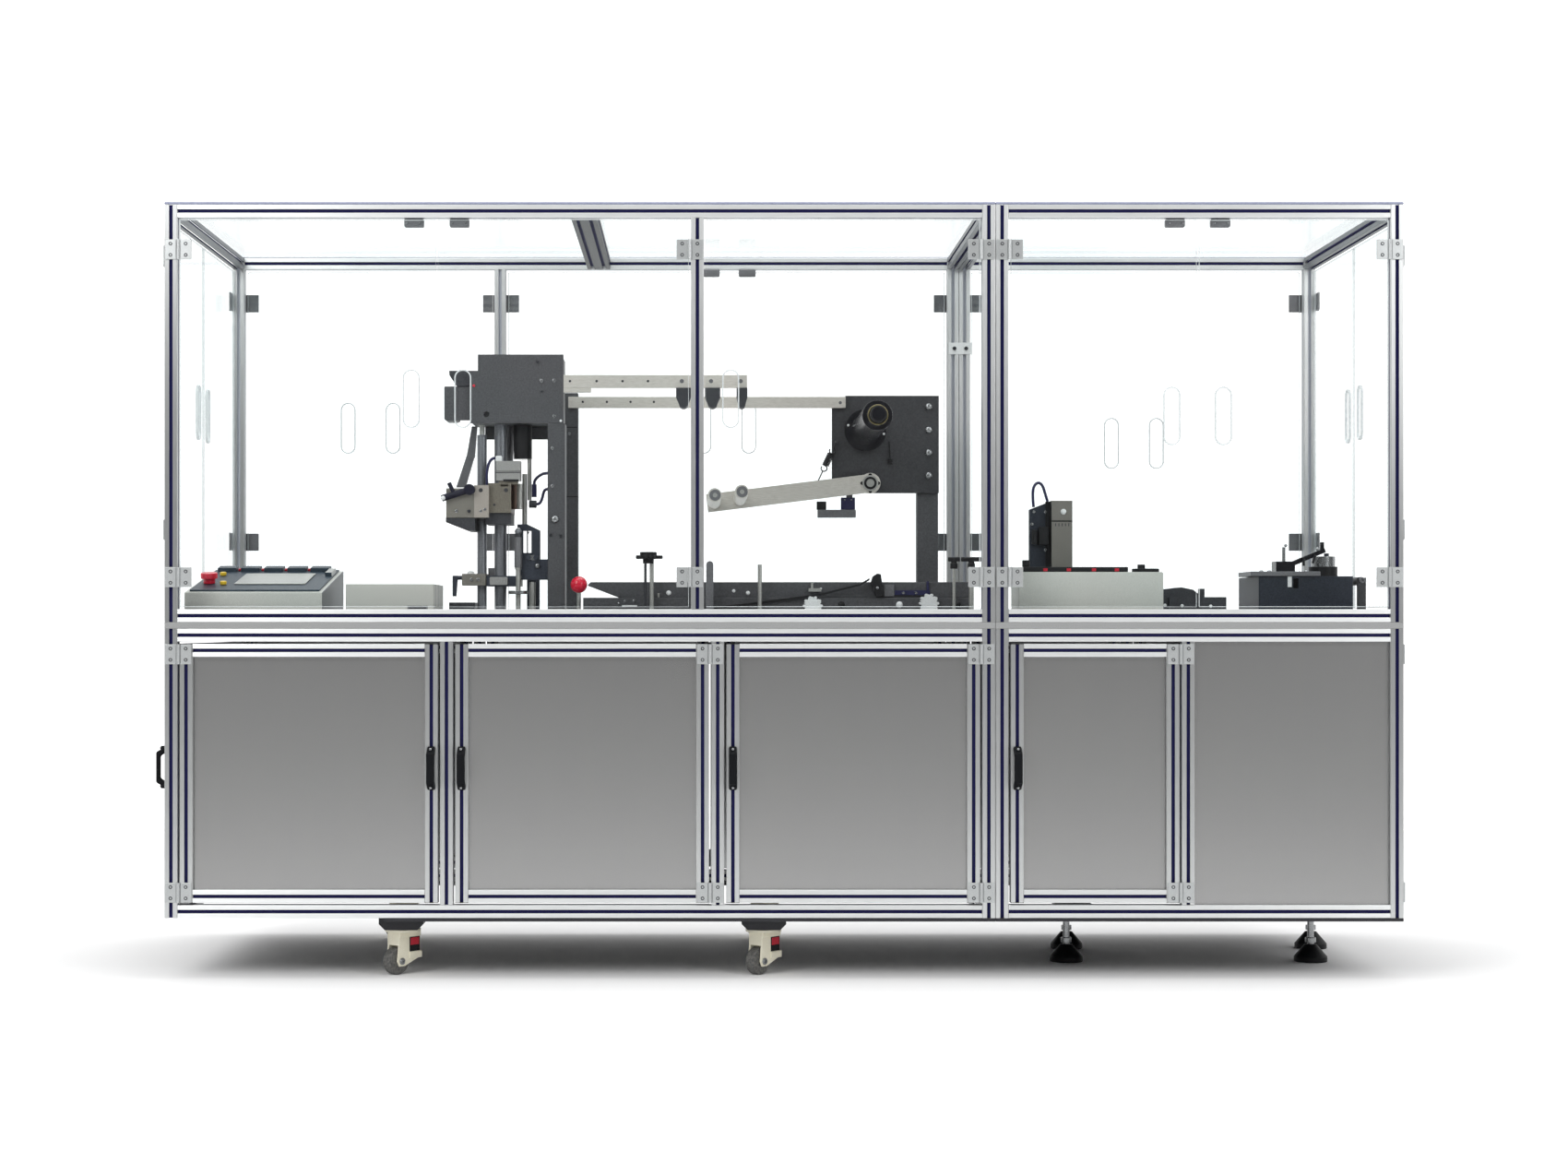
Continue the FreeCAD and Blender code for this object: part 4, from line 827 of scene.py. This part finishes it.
def slotTrim(solid):
    # a band round the finger slot, from the walls of the slot: the faces away from the sheet's own edges
    low, high = boxOf(solid)
    size, middle = high - low, (low + high) / 2
    thin = min(range(3), key=lambda i: size[i])
    edge = 20 * mm
    wide = 1 - thin
    piece = twin(solid)
    pickFaces(piece, lambda c, n: abs(n[thin]) > 0.5 or min(c[wide] - low[wide], high[wide] - c[wide]) < edge
              or min(c.z - low.z, high.z - c.z) < edge)
    bpy.ops.mesh.delete(type="FACE")
    done()
    if not piece.data.polygons:
        bpy.data.objects.remove(piece)
        return None
    modified(piece, "SOLIDIFY", thickness=3.2 * mm, offset=0)
    # the trim stands a little proud of the sheet on both sides
    grow = Matrix.Diagonal([1.12 if i == thin else 1 for i in range(3)] + [1])
    piece.data.transform(Matrix.Translation(middle) @ grow @ Matrix.Translation(-middle))
    # the trim is pale with painted light, as the sheet's edges are
    return eased(piece, "acrylicEdge", 0.8)


def guardParts(solid):
    sheet, trim = clearSheet(solid), slotTrim(solid)
    return [("Sheet", sheet)] + ([("SlotTrim", trim)] if trim else [])


for number in range(1, 6):
    sortedOut("guard_door_%d" % number, "guardDoor%d" % number, "Sheet", guardParts)
sortedOut("rear_and_side_guards", "fixedGuard", "Sheet", guardParts)
remade("roof_sheets", "roofSheetsClear", lambda solid: clearSheet(solid, "roofEdge"))

# Catches under the top bars: grey moulded bodies with a screw at each end
catchRows = ((-435.8, "front", (-856, -751, 906, 1011)), (435.8, "rear", (-166, -71)))
dressed("guard_catches", "guardCatchBodies", "bracket", width=3.5, segments=3, extras=[
    headAt(screwUnit, (x + end, y, 1746), 2.6, thick=0.5, side=side)
    for y, side, middles in catchRows for x in middles for end in (-15, 15)])
print("guards made")


# Running gear: each caster has a levelling dial in a window of its right cheek, and a lip below it
caster = {"places": ((-891, -350), (-45, -350), (-972, 350), (-29, 350)), "yaw": 50, "cheek": 20}


def casterTrim(x, y):
    side = -caster["cheek"]
    window = eased(block((2, 35), (side - 0.8, side + 1), (52, 86)), "nylon", 1)
    dial = eased(block((5, 32), (side - 1.4, side - 0.4), (67, 84)), "redMark", 0.4)
    lip = eased(block((0, 41), (side - 3, side + 1.5), (36, 52)), "ivory", 2.4, 4)
    brow = eased(block((-30, 38), (side - 2, side + 1.5), (87, 98)), "ivory", 1.6, 3)
    nut = headAt(screwUnit, (-22, side, 31.5), 8, thick=0.5)
    trim = joined([window, dial, lip, brow, nut])
    turn = Matrix.Rotation(math.radians(caster["yaw"]), 4, "Z")
    trim.data.transform(Matrix.Translation((x * mm, y * mm, 0)) @ turn)
    return trim


for number, (x, y) in enumerate(caster["places"], 1):
    dressed("caster_housing_%d" % number, "casterHousing%dBody" % number, "ivory",
            extras=[casterTrim(x, y)], width=3, segments=4)
    dressed("caster_wheel_%d" % number, "casterWheel%dTread" % number, "tread", width=2.5, segments=3)
dressed("levelling_feet", "levellingFootCones", "nylon", width=1,
        tints=[("screw", (600, 1450), (-200, 200), (42.4, 132))])


# Console: light box, dark sloped face with housings, and small red lamps between them
console = {"x": -1400, "front": -370, "low": 893, "slope": 57 / 350}


def onFace(x, along, over):
    tilt = math.atan(console["slope"])
    return (console["x"] + x, console["front"] + along - over * math.sin(tilt),
            console["low"] + along * console["slope"] + over * math.cos(tilt))


marks = []
for number in range(4):
    mark = block((-3.5, 3.5), (-7, 7), (-1, 5))
    mark.data.transform(Matrix.Translation([c * mm for c in onFace(72.5 + number * 57, 326, 5)])
                        @ Matrix.Rotation(math.atan(console["slope"]), 4, "X"))
    marks.append(eased(mark, "redMark", 1.5))
dressed("console", "consoleHousing", "greyCoat", width=2,
        tints=[("bracket", (-1077.5, -1070), (-400, 0), (823, 1000))])
dressed("console_face", "consoleFacePlate", "consoleTeal", [("groundSteel", (-1215, -195, 927))],
        [("cylinder", (-1107, -1087), (-140, -60), (940, 960))], marks, width=1.2)
dressed("console_buttons", "consoleButtonCaps", "yellow", [("redBall", (-1362, -264, 929))],
        width=2.5)
# a slot in the front of the drive box: a grey rim, and a dark block of painted shade for its inside
dressed("drive_box", "driveBoxHousing", "greyCoat", width=1.5, extras=[
    eased(block((-883, -835), (-331, -329.8), (853, 862)), "bracket", 0.5),
    eased(block((-879, -839), (-331.5, -330.8), (855.5, 859.5)), "phosphated", 0.3)])

# Wrapping head: screws, a red bit beside the port, and the plate between the box and its left flange
headFront = -220
dressed("head_box", "headPlates", "darkSteel", [("phosphated", (-770, -160, 1410))], extras=heads(
    screw=[(-574, headFront, 1402, 4.5), (-544, headFront, 1402, 4.5), (-544, headFront, 1317, 4)],
    darkScrew=[(-584, headFront, 1447, 4), (-574, headFront, 1376, 3)],
    redDome=[(-736, headFront, 1390, 3.5)], whiteDot=[(-528, headFront, 1306, 3)]) + [
    eased(block((-776.8, -741.8), (-196, -190), (1309, 1390.8)), "darkSteel", 1)])
# the columns have two seams on the rear one
dressed("columns", "headColumns", "darkSteel", width=1.5, extras=heads(
    screw=[(-548, headFront, 1150, 4), (-548, headFront, 1240, 4), (-527, 150, 1302, 4)],
    darkScrew=[(-552, headFront, 1032, 4.5), (-528, headFront, 1030, 4.5)],
    dome=[(-542, headFront, 1070, 10)]) + [
    eased(block((-574, -506), (149.8, 150.4), (z, z + 2)), "nylon", 0.1) for z in (1142, 1318)])
# the push rod in three lengths with a collar, and a white ball end on top
pushRod = ((-645, -617), (-213, -187))
dressed("guide_columns", "guideRods", "hardened", width=0.6, tints=[
    ("phosphated", *pushRod, (1027, 1036)), ("bracket", *pushRod, (954, 1027)),
    ("groundSteel", *pushRod, (823, 954)), ("screw", (-656, -606), (-225, -175), (890, 900)),
    ("groundSteel", (-730, -713), (-168, -150), (1277, 1300))],
    extras=[eased(rod(7.6, (-631, -200, 1037), (-631, -200, 1050.5), topRadius=4), "white", 3.4, 5)])

# Sealing head, one block after the other, with a seam and a mark on its cylinder
dressed("sealing_head", "sealingHeadBlocks", "milled", width=0.6, tints=[
    ("phosphated", (-802, -730), (-246, -134), (1041, 1072)),
    ("capPlate", (-734, -697), (-253, -234), (1072, 1151)),
    ("olive", (-700.9, -645), (-236, -109), (1085, 1157)),
    ("phosphated", (-709, -646), (-226, -114), (1057, 1085)),
    ("copperTube", (-647, -631.9), (-208, -192), (1094, 1157)),
    ("groundSteel", (-633.9, -620), (-208, -193), (1094, 1157)),
    ("cylinder", (-684, -623), (-233, -189), (1161, 1210)),
    ("white", (-684.5, -668), (-223, -207), (1209, 1223))],
    extras=heads(
        # the dots are holes, drawn as dark discs of painted shade
        dot=[(-717, -252, 1138, 5), (-658, -235, 1139, 5), (-686, -235, 1104, 3)],
        screw=[(-775, -250, 1088, 4), (-707, -252, 1092, 3.5), (-717, -252, 1088, 3.5)],
        darkScrew=[(-745, -250, 1088, 4)]) + [
        eased(block((-683.5, -623.5), (-233.6, -232.6), (1180.6, 1182.4)), "phosphated", 0.1),
        eased(block((-665, -628), (-233.4, -230), (1160, 1165)), "nylon", 0.6)],
    without=[(-696, -215, 1182)])
dressed("clamp_lever", "clampLeverGrip", "navyNylon", width=1.5,
        extras=heads(whiteDome=[(-805, -269.4, 1118.5, 5.5)]))
dressed("sealing_linkage", "sealingLinkageParts", "blued", [
    ("bracket", (-770, -114, 1226)), ("bracket", (-668, -120, 1256)), ("nylon", (-623, -155, 1259)),
    ("groundSteel", (-607, -160, 1168)), ("groundSteel", (-618.6, -160, 1121)),
    ("groundSteel", (-598, -178, 871)), ("hose", (-595.5, -160, 1141)),
    ("phosphated", (-599, -160, 1109)), ("cylinder", (-678, -197, 922)),
    ("milled", (-738, -160, 926)), ("bracket", (-700, -141, 945)), ("phosphated", (-767, -155, 847))],
    [("capPlate", (-640, -624), (-191, -129), (909, 936)), ("screw", (-602, -594), (-196, -180), (973, 986)),
     ("groundSteel", (-660, -600), (-170, -140), (1218, 1225))],
    heads("up", whiteDome=[(-749, -160, 940, 9)]) + heads(
        dome=[(-586, -186.4, 959, 7)], dot=[(-610, -170, 1040, 3), (-610, -170, 1052, 3)],
        screw=[(-744, -195, 926, 4), (-728, -195, 926, 4)]),
    [(-579, -160, 1173), (-574, -160, 1128)], 0.6)

# Beams with their holes, drawn as dark discs of painted shade, and countersunk screws, and the bearing
# brackets
beamFront, rearBeamFront = -220, 134.7
dressed("support_beams", "supportBeams", "flatBar", width=0.6, extras=heads(
    dot=[(x, beamFront, 1401, 3) for x in (-506, -442, -380, -319)]
    + [(x, rearBeamFront, 1382, 3) for x in (-492, -431, -371, -312)]) + [
    headAt(screwUnit, (x, beamFront, 1401), 5, "bracket", 0.3) for x in (-238, -168, -97)] + [
    headAt(screwUnit, (160, rearBeamFront, 1380), 4, "bracket", 0.4)])
dressed("bearing_brackets", "bearingBracketBodies", "phosphated", width=1.2)

# Film plate: four dome bolts, a hole drawn as a dark disc of painted shade, the pivot's washer with its
# screw, and a small sensor with two leads
plateFront, pivot = 150, (234.6, 1175)
dressed("film_plate", "filmPlateSteel", "plateSteel", width=1, tints=[
    ("groundSteel", (214, 255), (107, 115), (1155, 1196))], extras=heads(
    dome=[(385, plateFront, z, 9.4) for z in (1371, 1312, 1254, 1196)], dot=[(156, plateFront, 1215, 4)]) + [
    eased(rod(16, (pivot[0], 108.1, pivot[1]), (pivot[0], 107.2, pivot[1])), "nylon", 0.2),
    headAt(screwUnit, (pivot[0], 107.3, pivot[1]), 10, "groundSteel", 0.2),
    eased(block((281, 293), (140, 150.2), (1228, 1238)), "nylon", 1.5),
    eased(rod(1.4, (287, 145, 1238), (284, 145, 1283), 12), "nylon", 0.3),
    eased(rod(1.4, (287, 145, 1230), (293, 145, 1224), 12), "nylon", 0.3)])
clearSelection()
bpy.ops.mesh.primitive_torus_add(
    major_radius=22.5 * mm, minor_radius=2 * mm, major_segments=48, minor_segments=10,
    location=(0.22363, -0.345, 1.31), rotation=(math.radians(90), 0, 0))
brassRing = painted(settle(bpy.context.object), "brass")
bpy.ops.object.shade_smooth()
dressed("reel_shaft", "reelMandrel", "gloss", width=1.5, extras=[
    brassRing, eased(rod(19.5, (223.6, -348, 1310), (223.6, -374.8, 1310)), "nylon", 2.5, 3)]
    + heads(whiteDome=[(179.6, 125, 1322, 3), (269.6, 125, 1300, 3)]))
armFront, rollerFront, boltReach = 115, -255, 20.4
dressed("dancer_arm", "dancerArmBar", "flatBar", extras=[
    part for x, z in ((-158.5, 1126), (-94, 1134)) for part in (
        eased(rod(13.5, (x, rollerFront + 0.2, z), (x, rollerFront - 0.6, z)), "bracket", 0.3),
        headAt(screwUnit, (x, rollerFront - 0.5, z), 5.5, "groundSteel", 0.12))] + [
    headAt(screwUnit, (pivot[0] + x * boltReach, armFront, pivot[1] + z * boltReach), 4.4, "gloss", 0.5)
    for x, z in ((0, 1), (1, 0), (0, -1), (-1, 0))])
dressed("sensor_bracket", "sensorBracketParts", "bracket",
        [("nylon", (112, 142, 1119)), ("hose", (180, 139, 1125))],
        extras=heads(dome=[(x, 135.2, 1134, 2.2) for x in (171, 188)]))

# Extension spring: a close coil with a hook at each end, drawn along Z and laid between its two pins
spring = {"wire": 1.6, "radius": 7.6, "turns": 10, "pitch": 3.4, "top": (151.6, 138, 1282),
          "foot": (100.6, 138, 1175), "hook": 7.5, "middle": 0.57}
clearSelection()
bpy.ops.mesh.primitive_circle_add(vertices=8, radius=spring["wire"] * mm, fill_type="NOTHING")
coil = bpy.context.object
coil.location = (spring["radius"] * mm, 0, 0)
coil.rotation_euler = (math.radians(90), 0, 0)
settle(coil)
modified(coil, "SCREW", angle=math.radians(360), screw_offset=spring["pitch"] * mm,
         iterations=spring["turns"], steps=20, render_steps=20)
coilLength = spring["turns"] * spring["pitch"]
top, foot = Vector(spring["top"]), Vector(spring["foot"])
along = (top - foot).normalized()
reach = (top - foot).length
coilFoot = reach * spring["middle"] - coilLength / 2
coilTop = coilFoot + coilLength
coil.data.transform(Matrix.Translation((0, 0, coilFoot * mm)))
pieces = [coil]
hook = spring["hook"]
for base, tip in ((3, coilFoot - 2 * hook), (coilTop + 2 * hook, reach - 3)):
    pieces.append(rod(spring["wire"], (0, 0, base), (0, 0, tip), 12))
for level in (coilFoot - hook, coilTop + hook):
    clearSelection()
    bpy.ops.mesh.primitive_torus_add(
        major_radius=hook * mm, minor_radius=spring["wire"] * mm, major_segments=24, minor_segments=8,
        rotation=(0, math.radians(90), 0))
    ring = settle(bpy.context.object)
    pickFaces(ring, lambda c, n: 0.25 < math.atan2(c.z, c.y) < 1.3)
    bpy.ops.mesh.delete(type="FACE")
    selectAll()
    bpy.ops.mesh.fill_holes(sides=8)
    done()
    ring.data.transform(Matrix.Translation((0, 0, level * mm)))
    pieces.append(ring)
coil = painted(joined(pieces, "dancerSpringCoil"), "springWire")
edit(coil)
selectAll()
bpy.ops.mesh.normals_make_consistent(inside=False)
done()
coil.data.transform(Matrix.Translation(foot * mm) @ along.to_track_quat("Z", "Y").to_matrix().to_4x4())
smoothed(coil, 40)
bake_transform(coil)
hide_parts("dancer_spring")
print("head and film group made")

# Rails and what stands on them
railFront, lowerRailFront = -250, -262
dressed("guide_rails", "guideRailBlades", "darkSteel", extras=heads(
    whiteDome=[(-269, railFront, 893, 6), (-114, railFront, 898, 4), (-80, railFront, 893, 5),
               (94, railFront, 903, 2.5), (280, lowerRailFront, 865, 8)],
    dome=[(-388, lowerRailFront, 868, 3)], blackDome=[(x, lowerRailFront, 865, 8) for x in (142, 418)],
    screw=[(-373, lowerRailFront, 873, 3), (-352, lowerRailFront, 874, 3)]) + [
    eased(block((-380, -344), (lowerRailFront - 1, lowerRailFront + 0.3), (860, 864)), "white", 0.4),
    eased(rod(2.5, (-293, -256, 882), (-293, -256, 892), 16), "groundSteel")])
dressed("ball_lever", "ballLeverKnob", "redBall", width=0.3,
        tints=[("groundSteel", (-489, -478), (-246, -234), (823, 893))])
dressed("adjuster_knobs", "adjusterKnobGrips", "nylon", width=1.2, extras=[
    eased(rod(9, (x, -290, 950), (x, -290, 963)), "nylon", 1.5) for x in (407.4, 448.4)])
dressed("adjuster_rods", "adjusterRods", "groundSteel", width=0.6,
        others=[("phosphated", (-323.6, -290, 893)), ("bracket", (-171, -290, 896))])

# The two white wheels of the belt drives have round lobes, as wide as the wheel
wheels = {"centres": ((73.4, 862), (349.4, 868)), "lobes": 10, "radius": 3.4, "reach": 20.4,
          "depth": (-282.6, -262.4)}
lobes = []
for x, z in wheels["centres"]:
    for number in range(wheels["lobes"]):
        turn = 2 * math.pi * number / wheels["lobes"]
        ends = [(x + wheels["reach"] * math.cos(turn), y, z + wheels["reach"] * math.sin(turn))
                for y in wheels["depth"]]
        lobes.append(eased(rod(wheels["radius"], *ends, 16), "white", 0.8))
dressed("belt_drives", "beltDriveParts", "white", [
    ("nylon", (23, -267, 891)), ("nylon", (227, -263, 912)), ("bracket", (256, -253, 899)),
    ("groundSteel", (79, -256, 906)), ("hose", (311, -254, 904))], width=0.5, extras=lobes + heads(
    dome=[(227, -276, 905, 4)], screw=[(290, -258, 893, 3), (320, -258, 893, 3)]))
print("rails made")

# Right module: station with its red marks, tower with its scale, feeder and tape unit
dressed("station_box", "stationHousing", "greyCoat", [("nylon", (690, -310, 947))],
        width=1.5, extras=[eased(block((x - 5, x + 5), (-330.6, -329.6), (943, 950)), "redMark", 0.3)
                           for x in (619, 674, 733, 787)])
dressed("sensor_tower", "sensorTowerParts", "blasted", [
    ("consoleDark", (632, -110, 970)), ("nylon", (640, -130, 1033)), ("nylon", (620, -128, 1030))],
    [("nylon", (650, 658), (-151, -88), (823, 1119))], heads(
    whiteDome=[(686, -150, 1091, 7)], screw=[(613, -120, 1062, 3.5), (646, -120, 1000, 3.5),
                                             (618, -120, 1092, 3.5), (646, -120, 1092, 3.5)]) + [
    eased(block((656.6, 707.9), (-150.4, -149.8), (1067, 1070)), "nylon", 0.1),
    eased(block((646, 656.9), (-121.5, -119), (823.5, 1117)), "nylon", 0.5)] + [
    eased(block((x, x + 2), (-150.3, -149.7), (1056, 1063)), "phosphated", 0.1) for x in range(666, 699, 8)],
    [(634.8, -110, 1135)])
dressed("feeder_unit", "feederParts", "phosphated", width=1.2, extras=heads(
    whiteDome=[(925, -190, 864, 4), (966, -190, 863, 4), (1035, -190, 862, 4)],
    greyScrew=[(1000, -190, 850, 5)]))
dressed("tape_unit", "tapeUnitParts", "consoleDark", [
    ("bracket", (1212, -132, 940)), ("gloss", (1261, -135, 981)), ("plateSteel", (1402, -80, 893))],
    [("screw", (1302, 1362), (-110, -50), (959, 985)), ("nylon", (1296, 1367), (-115, -45), (934, 959.2)),
     ("screw", (1218, 1228), (-141, -129), (970, 1006))],
    heads("up", dome=[(x, -170, 945, 5) for x in (1161, 1180, 1270)])
    + heads(greyScrew=[(1401, -180, 925, 7)], dome=[(1222, -160, 1009, 4), (1300, -160, 1000, 5)]) + [
    eased(block((1218, 1228), (-200.4, -198), (908, 933.5)), "white", 0.3),
    eased(rod(3, (1268, -150, 960), (1268, -150, 980), 16), "nylon"),
    eased(rod(3, (1290, -150, 966), (1296, -150, 986), 16), "nylon")])
print("right module made")

# Splice plate on the two posts behind the seam: bright, with a screw on each post
splice = eased(block((461, 523), (416.5, 419.8), (1532, 1563)), "white", 1)
place(joined([splice] + heads(darkScrew=[(x, 416.5, 1547.5, 5) for x in (476, 507)])), "splicePlate", machine)

for tube in hoseTubes:
    tube.data.materials.append(looks["hose"])

remove([unit, doubleUnit, screwUnit, domeUnit, leafUnit, barrelUnit, rearLeafUnitPaintedShade, rearBarrelUnitPaintedShade])


# Studio: a white floor that thins out to nothing, soft light from above and in front
floorMaterial, tree, shader, point = startMaterial("studioFloor", Roughness=0.9)
shader.inputs["Base Color"].default_value = linear("#F7F7F7")
reach = addNode(tree, "VectorMath", {"operation": "LENGTH"}, links={0: point}).outputs["Value"]
fade = addNode(tree, "MapRange", {"interpolation_type": "SMOOTHSTEP"},
               {"From Min": 2.2, "From Max": 6.0, "To Min": 1.0, "To Max": 0.0}, {"Value": reach})
tree.links.new(fade.outputs["Result"], shader.inputs["Alpha"])
clearSelection()
bpy.ops.mesh.primitive_plane_add(size=14, location=(0, 0, -0.0005))
floor = bpy.context.object
floor.name = "floor"
settle(floor)
floor.data.materials.append(floorMaterial)

world = bpy.data.worlds.new("studio")
scene.world = world
world.use_nodes = True
tree = world.node_tree
tree.nodes.clear()
path = addNode(tree, "LightPath").outputs
direction = addNode(tree, "TexCoord").outputs["Generated"]
height = addNode(tree, "SeparateXYZ", links={"Vector": direction}).outputs["Z"]
# the room in front is dim at eye level, brighter above and towards the floor, and white behind the machine
sky = addNode(tree, "MapRange", {"interpolation_type": "SMOOTHSTEP"},
              {"From Min": 0.05, "From Max": 0.6, "To Min": 0.08, "To Max": 1.0}, {"Value": height})
ground = addNode(tree, "MapRange", {"interpolation_type": "SMOOTHSTEP"},
                 {"From Min": 0.0, "From Max": -0.12, "To Min": 0.0, "To Max": 0.8}, {"Value": height})
front = addNode(tree, "Math", {"operation": "ADD"},
                links={0: sky.outputs["Result"], 1: ground.outputs["Result"]}).outputs["Value"]
depthwise = addNode(tree, "SeparateXYZ", links={"Vector": direction}).outputs["Y"]
behind = addNode(tree, "MapRange", values={"From Min": -0.1, "From Max": 0.15}, links={"Value": depthwise})
strength = addNode(tree, "Math", {"operation": "MAXIMUM"}, links={0: front, 1: behind.outputs["Result"]})
surround = addNode(tree, "Background", values={"Color": (1, 1, 1, 1)},
                   links={"Strength": strength.outputs["Value"]})
# a little over white, so that it stays white through four clear sheets
backdrop = addNode(tree, "Background", values={"Color": (1, 1, 1, 1), "Strength": 1.5})
seen = addNode(tree, "MixShader", links={"Fac": path["Is Camera Ray"], 1: surround.outputs["Background"],
                                         2: backdrop.outputs["Background"]})
output = addNode(tree, "OutputWorld")
tree.links.new(seen.outputs["Shader"], output.inputs["Surface"])

# each lamp's place, the point it looks at, its size and its power
lamps = {"keyLeft": ((-3.2, -4.5, 3.6), (0, 0, 0.8), 3.0, 110),
         "fillRight": ((3.6, -4.0, 2.6), (0, 0, 0.9), 2.5, 60),
         "overhead": ((0, 0.3, 4.2), (0, 0, 0.8), 3.5, 80)}
for name, (where, aim, size, power) in lamps.items():
    lamp = bpy.data.lights.new(name, "AREA")
    lamp.shape, lamp.size, lamp.energy = "DISK", size, power
    lampObject = bpy.data.objects.new(name, lamp)
    lampObject.location = where
    lampObject.rotation_euler = (Vector(aim) - Vector(where)).to_track_quat("-Z", "Y").to_euler()
    scene.collection.objects.link(lampObject)
print("studio made")
